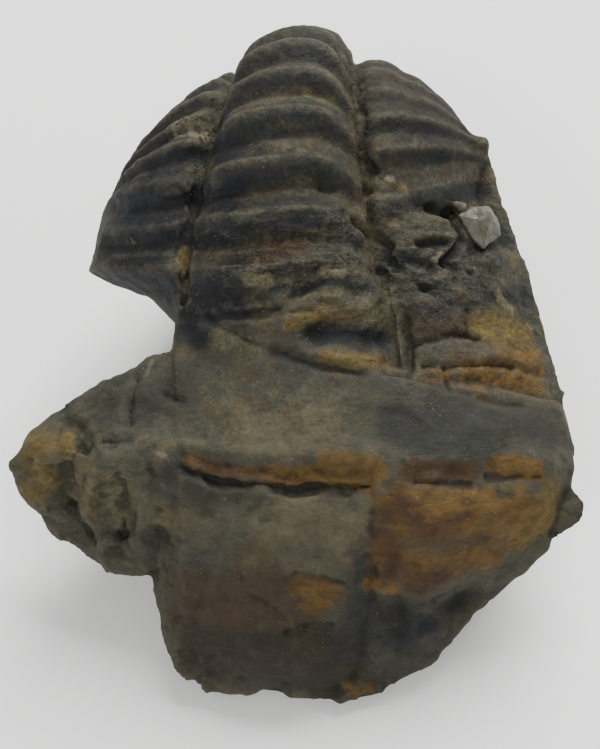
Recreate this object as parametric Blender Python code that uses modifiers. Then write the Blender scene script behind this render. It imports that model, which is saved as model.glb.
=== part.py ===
"""Trilobite fossil: a partly enrolled trilobite still held in its broken matrix, one piece of stone.

Run with: blender --background --python part.py
Lengths below are millimetres; the finished mesh is scaled to metres. +Z is up, +Y runs from the
broken head end to the tail, and the origin is at the middle of the base.
"""
import math

import bmesh
import bpy
import numpy as np
from mathutils import Matrix, Vector, noise
from mathutils.bvhtree import BVHTree
from mathutils.kdtree import KDTree

METRES = 0.001

# The back of the animal: heading along the crest of the arch, as (arc length, degrees).
ARCH_KNOTS = [(0, 4), (7, 14), (12, 33), (21, 32), (52, -92), (70, -140)]
ARCH_END = 69.0
ANCHOR = (21.0, 10.3, 29.9)          # arc length, y and z of one ring crest
PITCH_FRONT, PITCH_LOSS = 4.75, 0.022   # ring spacing, and how fast it shrinks to the tail
DIVE = [(0, 3.0), (4, 1.8), (8, 0.5), (11, 0.0), (69, 0.0)]     # the front rings sink into the matrix

# Widths either side of the middle line, as (arc length, half width).
AXIS_HALF = [(0, 9.6), (8, 8.8), (13, 7.6), (21, 6.5), (34, 5.3), (56, 3.6), (69, 1.6)]
AXIS_SHIFT = [(0, 1.4), (8, 1.2), (16, 0.0), (26, 0), (36, -0.6), (69, -0.6)]
LEFT_HALF = [(0, 9.6), (7, 9.4), (10.2, 10.2), (13.9, 16.5), (15.3, 18.6), (21, 18.0), (28, 17.0),
             (40, 15.5), (56, 13.0), (62, 11.0), (69, 5.0)]
RIGHT_HALF = [(0, 23.4), (4, 23.2), (8, 21.4), (10, 20.5), (12, 20.0), (15, 18.2), (17, 17.0),
              (19, 16.4), (22, 17.1), (28, 17.0), (40, 15.5), (56, 13.0), (62, 11.0), (69, 5.0)]
AXIS_DROP = [(0, 3.4), (12, 3.8), (21, 4.2), (34, 3.4), (56, 2.3), (69, 1.0)]   # crest to furrow
VAULT_SQUARE, VAULT_ROUND = 2.3, 0.62   # how boxy and how round the axis is across
SHOULDER_RISE, SHOULDER_SPAN = 0.63, 0.45   # the sides rise a little beside the furrow
FURROW_WIDTH = 0.8
SKIN_INSET = 0.6                     # ring troughs lie this far under the arch line
# How deep the furrows beside the axis are cut, and below 0 filled, on either side.
LEFT_FURROW = [(0, -0.6), (14, -0.6), (20, -0.1), (25, 0.6), (29, 0.7), (36, 0.1), (44, 0.1), (52, 0.5),
               (69, 0.5)]
RIGHT_FURROW = [(0, -0.2), (12, -0.1), (18, 0.1), (29, 0.3), (36, 0.1), (44, 0.1), (52, 0.5), (69, 0.5)]
PLEURA_DROP = [(0, 6.0), (12, 7.4), (21, 8.0), (30, 7.6), (60, 6.0), (69, 4.0)]
PLEURA_BULGE = 2.5                   # how late the sides turn down
SIDE_SAG = [(24, 0), (33, 0.7), (46, 1.0), (60, 0.3), (69, 0)]   # the sides are pressed in at the back
SAG_START, RIGHT_SAG = 0.25, 0.1     # it starts this share of the way out; the right is hardly pressed
# How far the rings and ribs lean towards the head at the furrows, and back at the tips.
LEFT_BEND = [(12, -1.2), (15.6, -0.95), (19.9, 0.4), (24, -0.3), (30, 0.6), (69, 0.9)]
RIGHT_BEND, TIP_BEND, TIP_POWER = 2.2, 2.4, 1.6
RIB_LEAD = 1.2                       # the right ribs lie this far ahead of the rings
LEFT_ARCH, RIGHT_ARCH = 2, 4         # how suddenly the rings lean at either furrow

# One ring and one rib, crest to crest, as (fraction of the spacing, height 0 to 1).
RING_PROFILE = [(0, 1), (.06, .93), (.13, .45), (.22, .46), (.34, .34), (.47, .04), (.55, .08),
                (.7, .5), (.85, .9), (1, 1)]
RIB_PROFILE = [(0, 1), (.1, .72), (.2, .42), (.28, .5), (.42, .22), (.54, 0), (.68, .3), (.85, .88), (1, 1)]
RING_HEIGHT, RIB_HEIGHT = 1.35, 1.05
RIGHT_RIB_HEIGHT = [(0, 0.75), (26, 0.75), (32, 0.3), (44, 0.3), (52, 0.75), (69, 0.75)]
RING_WEAR = [(0, 0.15), (7, 0.3), (10, 0.7), (14, 1.0), (58, 1.0), (66, 0.15)]    # worn flat at either end
RIB_WEAR = [(0, 0.7), (10, 0.9), (14, 1.0), (58, 1.0), (66, 0.15)]
RING_END, RING_END_KEPT = 0.25, 0.6      # share of the half width over which a ring sinks, and what is left
RIB_START, RIB_START_KEPT, RIB_END, RIB_STOP = 0.12, 0.2, 0.2, 1.05   # the same for a rib, at either end

# How the animal lies in the stone.
ROLL, YAW, SKEW = math.radians(6.5), math.radians(8.0), math.tan(math.radians(11.0))
PIVOT_Y, PIVOT_Z, AXIS_X = 7.0, 24.0, -2.0
CORE_DEPTH = 13.0                    # the body's rim is carried this far in, into the matrix

# Lumps of matrix, each the convex hull of its corner points.
HEAD_BLOCK = [(-10.5, 0.5, 20.0), (0, -2.3, 21.2), (8.5, -4.7, 20.0), (21.6, -4.2, 16), (22.8, -3, 13),
              (-9.7, -11, 17.6), (0, -12.2, 18.2), (12, -11, 18.2), (20.2, -10.0, 16), (23.3, -9.2, 13.3),
              (22.0, -12.8, 9.5), (20.6, -14.8, 9.2), (-8, -24.0, 1.5), (2.5, -24.8, 1.3),
              (6.8, -24.4, 1.2), (10.5, -22.2, 2), (15.2, -18.2, 4.5), (-10.6, -22.6, 3),
              (-12.2, -18.2, 5), (-13.2, -14.6, 6.5), (-9.5, -18.8, 11), (3, -20.2, 11),
              (12, -17.2, 12.0), (-8, -18, 0), (8, -19, 0), (13, -5, 0), (-9, -5, 0), (-10, 2, 8), (14, 2, 2)]
LEFT_WING = [(-24.7, -8.4, 13), (-24.0, -8.2, 11.5), (-22.5, -7.6, 15), (-21.2, -5.9, 15.8),
             (-20.1, -4.5, 16.2), (-18, -3.3, 16.8), (-14.9, -2.3, 17.6), (-10.7, -1.1, 19.2),
             (-22.0, -8.5, 15.2), (-16, -10, 16.6), (-10, -11, 17.5), (-23.2, -10.4, 9.5),
             (-20.6, -12.9, 8.2), (-17.5, -14.6, 6.6), (-13.2, -16.0, 6.5), (-15, -5, 6), (-9, -8, 2),
             (-9, -1, 6), (-20.5, -7.5, 9), (-10.8, -15.2, 10.8), (-10.2, -14.0, 13.4), (-12.4, -16.0, 8.0)]
INNER_CORE = [(-8, -8, 12), (8, -8, 12), (-9, 6, 17), (12, 6, 17), (-7, 20, 20), (8, 22, 20),
              (0, 27, 14), (8, 28, 8), (-4, 26, 8), (-9, -14, -1), (9, -15, -1), (14, 0, -1),
              (13, 18, -1), (6, 25, -1), (-5, 24, -1), (-9.5, 10, -1), (-9.5, 0, 4)]
RIGHT_FLANK = [(10, -6, 15), (20.8, -4, 14), (20.9, 3, 15), (18, 9, 15.5), (16.5, 15, 15),
               (13, 22, 14), (8, 24, 12), (21, -4, 9), (19, 5, 8), (14.5, 16, 6), (12, -2, 1),
               (12, 14, 1), (5, 10, 5)]
LEFT_FLANK = [(-14.5, 12.5, 15), (-13.0, 18, 15), (-9, 23, 14), (-6, 26, 10), (-9.5, 5.5, 15),
              (-11.5, 13, 9), (-9, 20, 6), (-8, 6, 4), (-2, 12, 8)]
RIGHT_KNOB = [(22.0, -12.0, 11.8), (24.1, -11.7, 12.3), (23.9, -13.0, 10.8), (21.4, -14.0, 9.8),
              (22.6, -10.2, 12.6), (20.5, -11, 10)]
LUMPS = [HEAD_BLOCK, LEFT_WING, INNER_CORE, RIGHT_FLANK, LEFT_FLANK, RIGHT_KNOB]

# The pale mineral chip on the right flank and the splinter beside it.
CHIP = [(14.3, 11.4, 23.0), (16.5, 12.3, 21.9), (17.3, 11.5, 21.4), (17.5, 10.1, 20.8), (15.8, 8.1, 21.3),
        (14.8, 8.8, 21.9), (13.6, 10.3, 23.1), (15.2, 11.1, 23.4), (16.5, 10.9, 22.7), (16.2, 9.5, 22.4),
        (15.2, 9.8, 23.1), (15.5, 11.5, 19.5), (16.5, 11, 18.8), (15, 9.5, 20)]
SPLINTER = [(12.7, 11.5, 23.9), (13.2, 11.7, 23.7), (14.6, 11.6, 23.3), (14.3, 10.6, 23.3),
            (13.4, 10.4, 23.2), (13.2, 11.2, 22.0), (14.2, 10.8, 22.0)]
LUMPS += [CHIP, SPLINTER]

# The matrix that fills the curl: from where along the arch on either side, and its feet.
FILL_LEFT, FILL_RIGHT, FILL_END, FILL_STOPS = 20.0, 0.5, 67.0, 14
FILL_FEET = [(-8.5, 11, -1), (-6, 25, -1), (6, 26, -1), (14, 16, -1), (13.5, 2, -1)]

# Cracks, crevices, pits, ridges and swellings: width, height (below 0 is cut in), points along it.
STROKES = {
    "ledge_band": (0.85, -0.75, [(-8.8, -10.9, 17.9), (-4.8, -11.9, 17.4), (0, -12.7, 17.5),
                                 (5.4, -12.2, 17.6)]),
    "ledge_crack": (0.38, -1.1, [(-9.0, -11.0, 17.5), (-6.8, -11.5, 16.9), (-4.8, -12.0, 16.5),
                                 (-2.4, -12.7, 16.3),
                                 (0, -13.0, 16.2), (3.2, -12.9, 16.2), (5.4, -12.6, 16.4)]),
    "ledge_lip": (0.8, 0.45, [(-9.2, -9.9, 18.4), (-4.6, -10.9, 18.8), (0, -11.5, 19.1), (5.2, -11.2, 19)]),
    "second_band": (0.6, -0.35, [(9.5, -12.1, 17.9), (11.2, -11.9, 18), (13.2, -11.8, 17.1)]),
    "second_crack": (0.32, -0.5, [(9.2, -12.6, 17.2), (11.2, -12.8, 17), (13.6, -12.3, 16.2)]),
    "third_band": (0.6, -0.35, [(15.7, -11.2, 17), (17.4, -10.9, 17.1), (19.2, -11.2, 16.5)]),
    "third_crack": (0.32, -0.45, [(15.2, -11.7, 16.4), (17.4, -11.7, 16.2), (19.8, -11.7, 15.8)]),
    "front_furrow": (0.42, -0.32, [(5.6, -13.2, 16), (5.8, -15.5, 14.2), (5.6, -18.3, 9.2),
                                  (5.1, -21.2, 5.8),
                                  (4.2, -23.9, 1.9)]),
    "wing_ridge": (0.9, 0.8, [(-12.5, -9.3, 18), (-15, -10.4, 16.8), (-16.4, -10.4, 15),
                              (-17.4, -11.3, 13.4),
                              (-17.6, -12.1, 11.6), (-17, -13.1, 10), (-16.3, -14, 8.5)]),
    "wing_gully": (0.9, -0.8, [(-18.2, -8.9, 16.1), (-19.9, -10, 14), (-19.8, -11.2, 11.8),
                               (-19, -12.1, 10.3),
                               (-18, -13, 9.4)]),
    "wing_hole": (0.7, -0.9, [(-19.4, -11.8, 10.9)]),
    "wing_cleft": (0.65, -0.8, [(-14.2, -10.9, 14.6), (-14.4, -11.7, 12.6), (-14.4, -13.2, 10.4),
                               (-15, -14.3, 8.6)]),
    "wing_hollow": (1.1, -0.6, [(-11.7, -14, 10.9)]),
    "wing_rib": (1.0, 0.5, [(-13, -11.4, 15.2), (-12.9, -12.5, 13.2), (-13.1, -13.9, 10.6)]),
    "wing_crack": (0.42, -0.75, [(-13.6, -3.6, 18.3), (-13.9, -5.2, 17.8), (-14.1, -7.2, 17.7)]),
    "cap_nick": (0.4, -0.35, [(-11.2, -5.1, 18.9), (-9.8, -5.9, 18.8)]),
    "wing_line": (0.35, -0.35, [(-16.2, -8.8, 17.2), (-13.9, -9.0, 17.8)]),
    "furrow_pit_back": (0.42, -0.45, [(5.0, 17.3, 28.1), (5.7, 17.0, 28.0)]),
    "furrow_pit_middle": (0.42, -0.5, [(5.0, 14.3, 26.7), (5.8, 14.1, 26.1), (6.3, 12.8, 26.5)]),
    "furrow_pit_front": (0.4, -0.4, [(5.4, 11.0, 24.7), (6.8, 10.1, 26.0), (8.2, 10.5, 26.3)]),
    "ring_slit": (0.3, -0.4, [(1.7, 8.9, 27.8), (2.7, 9.2, 27.5)]),
    "slab": (1.5, 0.55, [(6.3, 8.7, 25), (8.4, 8.6, 25.5), (10.8, 8.7, 24.7)]),
    "slab_foot": (0.36, -0.7, [(4, 7.4, 25), (5.7, 7.3, 24.1), (7.2, 6.5, 24), (10.4, 6.6, 23.6),
                               (12.8, 7.5, 22.9)]),
    "slab_foot_branch": (0.32, -0.4, [(7.2, 6.5, 24), (7.5, 6.1, 22.6), (8.6, 5.2, 22.2)]),
    "chip_hole": (0.5, -0.75, [(11.2, 10.3, 23.8), (12.1, 10.4, 23.2), (13.0, 10.9, 22.7)]),
    "chip_crack": (0.34, -0.65, [(12.9, 11.2, 22.6), (13.5, 9.6, 22.6), (13.7, 8.8, 21.7),
                                 (13.2, 7.6, 21.8),
                                (12.4, 5.9, 22.4)]),
    "chip_crack_right": (0.3, -0.45, [(13.8, 8.9, 21.8), (15.0, 7.9, 21.5)]),
    "chip_crack_low": (0.3, -0.4, [(12.6, 5.9, 22.4), (14.9, 5.5, 21.6)]),
    "fold_crack": (0.3, -0.35, [(9.6, 3.7, 22.2), (11.4, 2.8, 21.4), (12.6, 2.6, 20.5), (13.9, 2.4, 19.9)]),
    "body_step": (0.42, -0.5, [(-6.2, 0.6, 21.6), (-3.4, -0.1, 22.7), (-1.6, 0.2, 23.4),
                               (-0.6, 1.2, 23.9), (2.4, 2.6, 24), (7, 5.1, 21.1)]),
    "ledge_top": (0.9, 0.4, [(-1.2, 0.9, 22.9), (0, 0.6, 23.9), (2.4, 1.1, 23.9), (6.2, 1.6, 22.3)]),
    "ledge_hollow": (1.1, -0.9, [(1.2, -0.9, 21.6), (4.2, -0.6, 20.9), (6.6, -0.5, 19.8)]),
    "ledge_strip": (0.6, 0.45, [(0.8, -3.0, 21.4), (2.4, -3.1, 21.3), (4.1, -3.2, 20.9),
                                (6.2, -2.7, 19.8)]),
    "column": (0.5, 0.5, [(7.7, 3.4, 21.5), (8.2, 2.3, 20.5), (8.3, 1.2, 19.2), (8.5, -0.4, 18.2),
                          (8.7, -1.6, 17.9)]),
    "column_crack": (0.32, -0.55, [(9.2, 1.4, 19.8), (9.2, -0.4, 18.9), (9.2, -2.2, 18.6), (9, -3.9, 18.9)]),
    "block": (1.3, 0.3, [(10.6, 0.8, 20.2), (12.6, 1.0, 19.8)]),
    "block_foot": (0.32, -0.5, [(9.4, -0.7, 19.2), (10.9, -0.7, 19.8), (13.7, 0.3, 19.3),
                                (15.2, 0.3, 18.8)]),
    "block_end": (0.3, -0.4, [(13.9, 2.2, 19.9), (14, 0.4, 19.2)]),
    "low_block": (0.8, 0.3, [(10.8, -2.0, 19.3), (14, -1.2, 18.8), (17, -0.4, 17.6)]),
    "low_block_foot": (0.3, -0.45, [(10.2, -3.0, 19.1), (13.5, -2.4, 18.8), (15.8, -1.7, 18.2),
                                    (18, -1.6, 17)]),
    "side_nick": (0.4, -0.6, [(18.2, -1.5, 17.1), (19.5, -1.4, 16.4), (20.8, -0.9, 15.7)]),
    "brick_crack": (0.28, -0.5, [(12.0, -3.0, 19), (12.2, -4.4, 18.9)]),
    "cap_edge": (0.4, -0.35, [(-7.5, 0.5, 21), (-4.9, -1.2, 21.4), (0, -3.5, 20.8), (3.7, -3.9, 19.9),
                              (8.2, -4.1, 19.6), (11.5, -4.5, 19.1), (15.7, -5.2, 17.8),
                              (20.4, -5.3, 16.1)]),
    "front_spot_high": (0.5, -0.4, [(-0.5, -18.5, 12.5), (1.5, -18.5, 12.5), (3.5, -19, 12)]),
    "front_spot_low": (0.5, -0.4, [(-1, -21.5, 8), (1, -21, 8.5), (2.5, -21.5, 8.5)]),
    "front_swelling": (3.2, 0.8, [(-5, -15.5, 14.5), (1, -15.5, 14.5)]),
    "front_hollow": (2.4, -0.6, [(-8, -19, 11), (0, -20, 11)]),
    "right_swelling": (3.0, 1.0, [(9.5, -15, 15), (13, -14, 14.5), (18, -13, 13.5)]),
    "right_hollow": (1.8, -0.7, [(6.5, -20, 9.5), (10.5, -19.5, 8.5), (14, -18.5, 7.5)]),
    "low_swelling": (2.6, 0.7, [(-4, -22, 6), (0, -22.5, 5.5)]),
    "left_hole": (0.6, -0.5, [(-8.8, 11.2, 23.6), (-8.1, 10.6, 25.3)]),
    "left_crack": (0.3, -0.45, [(-9.5, 5.4, 21.0), (-9.3, 4.6, 20.7), (-9.3, 2.9, 20.0)]),
    "rib_tip": (0.9, 0.8, [(16, 18.5, 23)]),
    "left_tip": (0.9, 0.5, [(-17.9, 10.8, 18.4)]),
}

# Weathering: (size of the lumps, height on the matrix, height on the body).
WEATHERING = [(7.0, 0.55, 0.10), (3.0, 0.35, 0.14), (1.4, 0.12, 0.10)]

GRID_ALONG, GRID_ACROSS = 200, 120
FUSE_VOXEL, SOFTEN_ROUNDS = 0.5, 2
TRIANGLES = 9600
BASE_MIDDLE = (-0.35, 3.9, 0.0)      # the middle of the box around the stone, brought to the origin
CUTTER_SIDE, CUTTER_DEEP = 90.0, 12.0
STONE_COLOUR = (0.070, 0.064, 0.050, 1.0)
STONE_ROUGHNESS = 0.82


def along(knots, at):
    """Read a table of (position, value) pairs."""
    places, values = zip(*knots)
    return np.interp(at, places, values)


def arch_path(step=0.1):
    """Arc length, heading, y, z and the running count of rings along the crest."""
    arc = np.arange(0.0, ARCH_END + step, step)
    heading = np.radians(along(ARCH_KNOTS, arc))
    y = np.concatenate([[0], np.cumsum(np.cos(heading[:-1]) * step)])
    z = np.concatenate([[0], np.cumsum(np.sin(heading[:-1]) * step)])
    y += ANCHOR[1] - np.interp(ANCHOR[0], arc, y)
    z += ANCHOR[2] - np.interp(ANCHOR[0], arc, z)
    rings = np.concatenate([[0], np.cumsum(step / (PITCH_FRONT - PITCH_LOSS * arc[:-1]))])
    rings -= np.interp(ANCHOR[0], arc, rings)
    return arc, heading, y, z, rings


def lay(across, y, z):
    """Turn the upright animal to the way it lies in the stone."""
    y = y + across * SKEW
    rise = z - PIVOT_Z
    x_rolled = across * math.cos(ROLL) - rise * math.sin(ROLL)
    z_rolled = across * math.sin(ROLL) + rise * math.cos(ROLL) + PIVOT_Z
    run = y - PIVOT_Y
    x = x_rolled * math.cos(YAW) + run * math.sin(YAW) + AXIS_X
    y = -x_rolled * math.sin(YAW) + run * math.cos(YAW) + PIVOT_Y
    return np.stack([x, y, z_rolled], -1)


def body_surface(u, v):
    """Points of the back: u is arc length, v runs -1 (left edge) to 1 (right edge)."""
    arc, heading, path_y, path_z, rings = arch_path()
    axis = along(AXIS_HALF, u)
    half = np.where(v < 0, along(LEFT_HALF, u), along(RIGHT_HALF, u))
    across = v * half
    off_axis = np.abs(across)
    on_axis = np.clip(off_axis / axis, 0, 1)
    on_side = np.clip((off_axis - axis) / (half - axis + 1e-6), 0, 1)
    is_side = off_axis > axis
    drop = along(AXIS_DROP, u)
    vault = -drop * (1 - (1 - on_axis ** VAULT_SQUARE) ** VAULT_ROUND)
    shoulder = SHOULDER_RISE * np.sin(np.clip(on_side / SHOULDER_SPAN, 0, 1) * math.pi)
    rise = np.where(is_side, -drop + shoulder - along(PLEURA_DROP, u) * on_side ** PLEURA_BULGE, vault)
    furrow = np.where(v < 0, along(LEFT_FURROW, u), along(RIGHT_FURROW, u))
    rise -= furrow * np.exp(-((off_axis - axis) / FURROW_WIDTH) ** 2)
    rise -= along(SIDE_SAG, u) * np.clip(on_side / SAG_START, 0, 1) * np.where(v < 0, 1, RIGHT_SAG)
    edge_bend = np.where(v < 0, along(LEFT_BEND, u), RIGHT_BEND)
    arching = on_axis ** np.where(v < 0, LEFT_ARCH, RIGHT_ARCH)
    bend = edge_bend * arching - TIP_BEND * on_side ** TIP_POWER + RIB_LEAD * (is_side & (v > 0))
    turn = np.interp(u + bend, arc, rings)
    turn -= np.floor(turn)
    ring_fade = np.clip((1 - on_axis) / RING_END, RING_END_KEPT, 1)
    ring = along(RING_PROFILE, turn) * RING_HEIGHT * ring_fade
    rib_fade = np.clip(on_side / RIB_START, RIB_START_KEPT, 1)
    rib_fade = rib_fade * np.clip((RIB_STOP - on_side) / RIB_END, 0, 1)
    rib = along(RIB_PROFILE, turn) * np.where(v < 0, RIB_HEIGHT, along(RIGHT_RIB_HEIGHT, u)) * rib_fade
    relief = np.where(is_side, rib * along(RIB_WEAR, u), ring * along(RING_WEAR, u))
    rise += relief - SKIN_INSET - along(DIVE, u)
    h = np.interp(u, arc, heading)
    y = np.interp(u, arc, path_y) - np.sin(h) * rise
    z = np.interp(u, arc, path_z) + np.cos(h) * rise
    return lay(across + along(AXIS_SHIFT, u), y, z)


def body_core(u):
    """The line inside the arch that the body's rim is carried towards."""
    arc, heading, path_y, path_z, _ = arch_path()
    h = np.interp(u, arc, heading)
    y = np.interp(u, arc, path_y) + np.sin(h) * CORE_DEPTH
    z = np.interp(u, arc, path_z) - np.cos(h) * CORE_DEPTH
    return lay(0 * u, y, z)


def add_body(bm):
    """The ringed back as a grid, closed inside the arch."""
    bmesh.ops.create_grid(bm, x_segments=GRID_ALONG, y_segments=GRID_ACROSS, size=0.5)
    flat = np.array([vert.co for vert in bm.verts])
    u = (flat[:, 0] + 0.5) * ARCH_END
    skin = body_surface(u, flat[:, 1] * 2)
    core = body_core(u)
    number = bm.verts.layers.int.new("number")
    for i, vert in enumerate(bm.verts):
        vert.co = skin[i]
        vert[number] = i
    rim = [edge for edge in bm.edges if edge.is_boundary]
    made = bmesh.ops.extrude_edge_only(bm, edges=rim)
    for vert in made["geom"]:
        if isinstance(vert, bmesh.types.BMVert):
            vert.co = vert.co.lerp(Vector(core[vert[number]]), 0.8)
    bmesh.ops.holes_fill(bm, edges=[edge for edge in bm.edges if edge.is_boundary], sides=0)
    bmesh.ops.triangulate(bm, faces=[face for face in bm.faces if len(face.verts) > 4])
    bmesh.ops.recalc_face_normals(bm, faces=bm.faces)


def add_lump(bm, corners):
    """A lump of matrix: the convex hull of its corners."""
    verts = [bm.verts.new(corner) for corner in corners]
    made = bmesh.ops.convex_hull(bm, input=verts)
    inner = [item for item in made["geom_interior"] if isinstance(item, bmesh.types.BMVert)]
    bmesh.ops.delete(bm, geom=inner, context="VERTS")


def filling():
    """Corners of the matrix inside the curl: both rims, and its feet."""
    corners = list(FILL_FEET)
    for side, start in ((-1.0, FILL_LEFT), (1.0, FILL_RIGHT)):
        arc = np.linspace(start, FILL_END, FILL_STOPS)
        corners += [tuple(point) for point in body_surface(arc, np.full(arc.shape, side))]
    return corners


def rough_stone():
    """Body and lumps in one mesh, still overlapping."""
    bm = bmesh.new()
    add_body(bm)
    add_lump(bm, filling())
    for corners in LUMPS:
        add_lump(bm, corners)
    mesh = bpy.data.meshes.new("trilobite_fossil")
    bm.to_mesh(mesh)
    bm.free()
    return bpy.data.objects.new("trilobite_fossil", mesh)


def soften(piece, rounds):
    """Rub the edges down a little."""
    rub = piece.modifiers.new("rub_down", "SMOOTH")
    rub.factor = 0.5
    rub.iterations = rounds
    apply_modifiers(piece)


def apply_modifiers(piece):
    """Replace the object's mesh with what its modifiers make."""
    depsgraph = bpy.context.evaluated_depsgraph_get()
    mesh = bpy.data.meshes.new_from_object(piece.evaluated_get(depsgraph))
    piece.modifiers.clear()
    piece.data = mesh


def fuse(piece, voxel):
    """Join everything that overlaps into one closed skin."""
    remesh = piece.modifiers.new("fuse", "REMESH")
    remesh.mode = "VOXEL"
    remesh.voxel_size = voxel
    remesh.adaptivity = 0
    apply_modifiers(piece)


def read_points(mesh):
    """Positions and normals of a mesh's vertices."""
    points = np.empty(len(mesh.vertices) * 3)
    mesh.vertices.foreach_get("co", points)
    normals = np.empty(len(mesh.vertices) * 3)
    mesh.vertices.foreach_get("normal", normals)
    return points.reshape(-1, 3), normals.reshape(-1, 3)


def write_points(mesh, points):
    """Move a mesh's vertices."""
    mesh.vertices.foreach_set("co", points.ravel())
    mesh.update()


def span_distance(points, start, end):
    """Distance of each point from the straight span between two places."""
    run = end - start
    share = np.clip((points - start) @ run / max(run @ run, 1e-9), 0, 1)
    return np.linalg.norm(points - start - share[:, None] * run, axis=1)


def carve(mesh):
    """Cut or raise every stroke along the surface."""
    points, normals = read_points(mesh)
    skin = BVHTree.FromPolygons([tuple(p) for p in points], [tuple(f.vertices) for f in mesh.polygons])
    rise = np.zeros(len(points))
    for width, height, route in STROKES.values():
        snapped = [np.array(skin.find_nearest(Vector(stop))[0]) for stop in route]
        spans = list(zip(snapped[:-1], snapped[1:])) or [(snapped[0], snapped[0])]
        away = np.min([span_distance(points, start, end) for start, end in spans], axis=0)
        rise += height * np.exp(-(away / width) ** 2)
    write_points(mesh, points + normals * rise[:, None])


def weather(mesh):
    """Lumps of several sizes: strong on the matrix, faint on the body."""
    points, normals = read_points(mesh)
    arc = np.arange(0.0, ARCH_END, 0.5)
    across = np.linspace(-1, 1, 60)
    u, v = (grid.ravel() for grid in np.meshgrid(arc, across))
    body = KDTree(len(u))
    for i, spot in enumerate(body_surface(u, v)):
        body.insert(spot, i)
    body.balance()
    rise = np.zeros(len(points))
    for i, point in enumerate(points):
        stone = min(max((body.find(point)[2] - 0.6) / 1.2, 0), 1)
        for size, on_matrix, on_body in WEATHERING:
            height = on_body + (on_matrix - on_body) * stone
            rise[i] += height * noise.noise(Vector(point) / size + Vector((size, 0, 0)))
    write_points(mesh, points + normals * rise[:, None])


def named_collection(name):
    """A new collection in the scene."""
    group = bpy.data.collections.new(name)
    bpy.context.scene.collection.children.link(group)
    return group


def stone_material():
    """Matt grey-brown limestone."""
    material = bpy.data.materials.new("fossil_stone")
    material.use_nodes = True
    shader = material.node_tree.nodes["Principled BSDF"]
    shader.inputs["Base Color"].default_value = STONE_COLOUR
    shader.inputs["Roughness"].default_value = STONE_ROUGHNESS
    shader.inputs["Metallic"].default_value = 0.0
    return material


def ground_cutter(group):
    """The block below the base, which cuts it flat."""
    bm = bmesh.new()
    bmesh.ops.create_cube(bm, size=1.0)
    size = Vector((CUTTER_SIDE, CUTTER_SIDE, CUTTER_DEEP)) * METRES
    bmesh.ops.transform(bm, matrix=Matrix.Diagonal(size.to_4d()), verts=bm.verts)
    bmesh.ops.translate(bm, vec=(0, 0, -size.z / 2), verts=bm.verts)
    mesh = bpy.data.meshes.new("ground_cutter")
    bm.to_mesh(mesh)
    bm.free()
    cutter = bpy.data.objects.new("ground_cutter", mesh)
    cutter.hide_render = True
    cutter.display_type = "WIRE"
    group.objects.link(cutter)
    return cutter


def thin_out(piece, triangles):
    """Fewer, larger facets."""
    piece.data.calc_loop_triangles()
    thin = piece.modifiers.new("thin_out", "DECIMATE")
    thin.ratio = triangles / len(piece.data.loop_triangles)
    thin.use_collapse_triangulate = True


def cut_flat(piece, cutter):
    """The flat base that the stone rests on."""
    cut = piece.modifiers.new("flat_base", "BOOLEAN")
    cut.operation = "DIFFERENCE"
    cut.solver = "EXACT"
    cut.object = cutter


def main():
    for old in list(bpy.data.objects):
        bpy.data.objects.remove(old)
    parts = named_collection("trilobite_fossil")
    cutters = named_collection("cutters")
    stone = rough_stone()
    parts.objects.link(stone)
    fuse(stone, FUSE_VOXEL)
    soften(stone, SOFTEN_ROUNDS)
    carve(stone.data)
    weather(stone.data)
    stone.data.transform(Matrix.Translation(-Vector(BASE_MIDDLE)))
    stone.data.transform(Matrix.Scale(METRES, 4))
    stone.data.materials.append(stone_material())
    thin_out(stone, TRIANGLES)
    cut_flat(stone, ground_cutter(cutters))
    return stone


if __name__ == "__main__":
    main()
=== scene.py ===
"""Trilobite fossil: the finished stone, its colours, its grains and its setting.

Shapes are worked out in millimetres, in the same way as the solid, and brought to metres at the end.
"""

import math

import bmesh
import bpy
import numpy as np
from mathutils import Matrix, Vector, noise
from mathutils.bvhtree import BVHTree


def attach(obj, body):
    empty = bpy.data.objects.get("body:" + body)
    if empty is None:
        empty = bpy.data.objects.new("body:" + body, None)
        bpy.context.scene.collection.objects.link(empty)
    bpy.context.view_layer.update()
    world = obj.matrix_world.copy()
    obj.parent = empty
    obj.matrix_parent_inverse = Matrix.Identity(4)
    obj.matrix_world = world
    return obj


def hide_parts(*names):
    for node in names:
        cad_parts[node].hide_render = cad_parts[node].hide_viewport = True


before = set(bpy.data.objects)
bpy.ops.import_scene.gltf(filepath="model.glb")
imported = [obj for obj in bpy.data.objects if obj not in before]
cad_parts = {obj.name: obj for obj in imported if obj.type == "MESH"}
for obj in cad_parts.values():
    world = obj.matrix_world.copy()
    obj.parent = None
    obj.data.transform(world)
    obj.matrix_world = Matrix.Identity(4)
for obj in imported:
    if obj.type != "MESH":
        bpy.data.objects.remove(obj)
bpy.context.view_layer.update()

NODE, SLOT, BODY = "trilobite_fossil", "fossil_stone", "root"
METRES, MILLIMETRES = 0.001, 1000.0   # one millimetre in metres, and one metre in millimetres

# ---------------------------------------------------------------- sizes, in millimetres
# The back of the animal: heading along the crest of the arch, as (arc length, degrees).
ARCH_KNOTS = [(0, 4), (7, 14), (12, 33), (21, 32), (52, -92), (70, -140)]
ARCH_END, ARCH_STEP = 69.0, 0.1
ANCHOR = (21.0, 10.3, 29.9)          # arc length, y and z of one ring crest
PITCH_FRONT, PITCH_LOSS = 4.75, 0.022   # ring spacing, and how fast it shrinks to the tail
WHOLE_TURNS = 100                    # added to the count of rings, so that it stays above 0
BACK_POINTS = (420, 240)             # of the grid, along the arch and across it
DIVE = [(0, 3), (4, 1.8), (8, 0.5), (11, 0)]   # the front rings sink into the matrix

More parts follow.
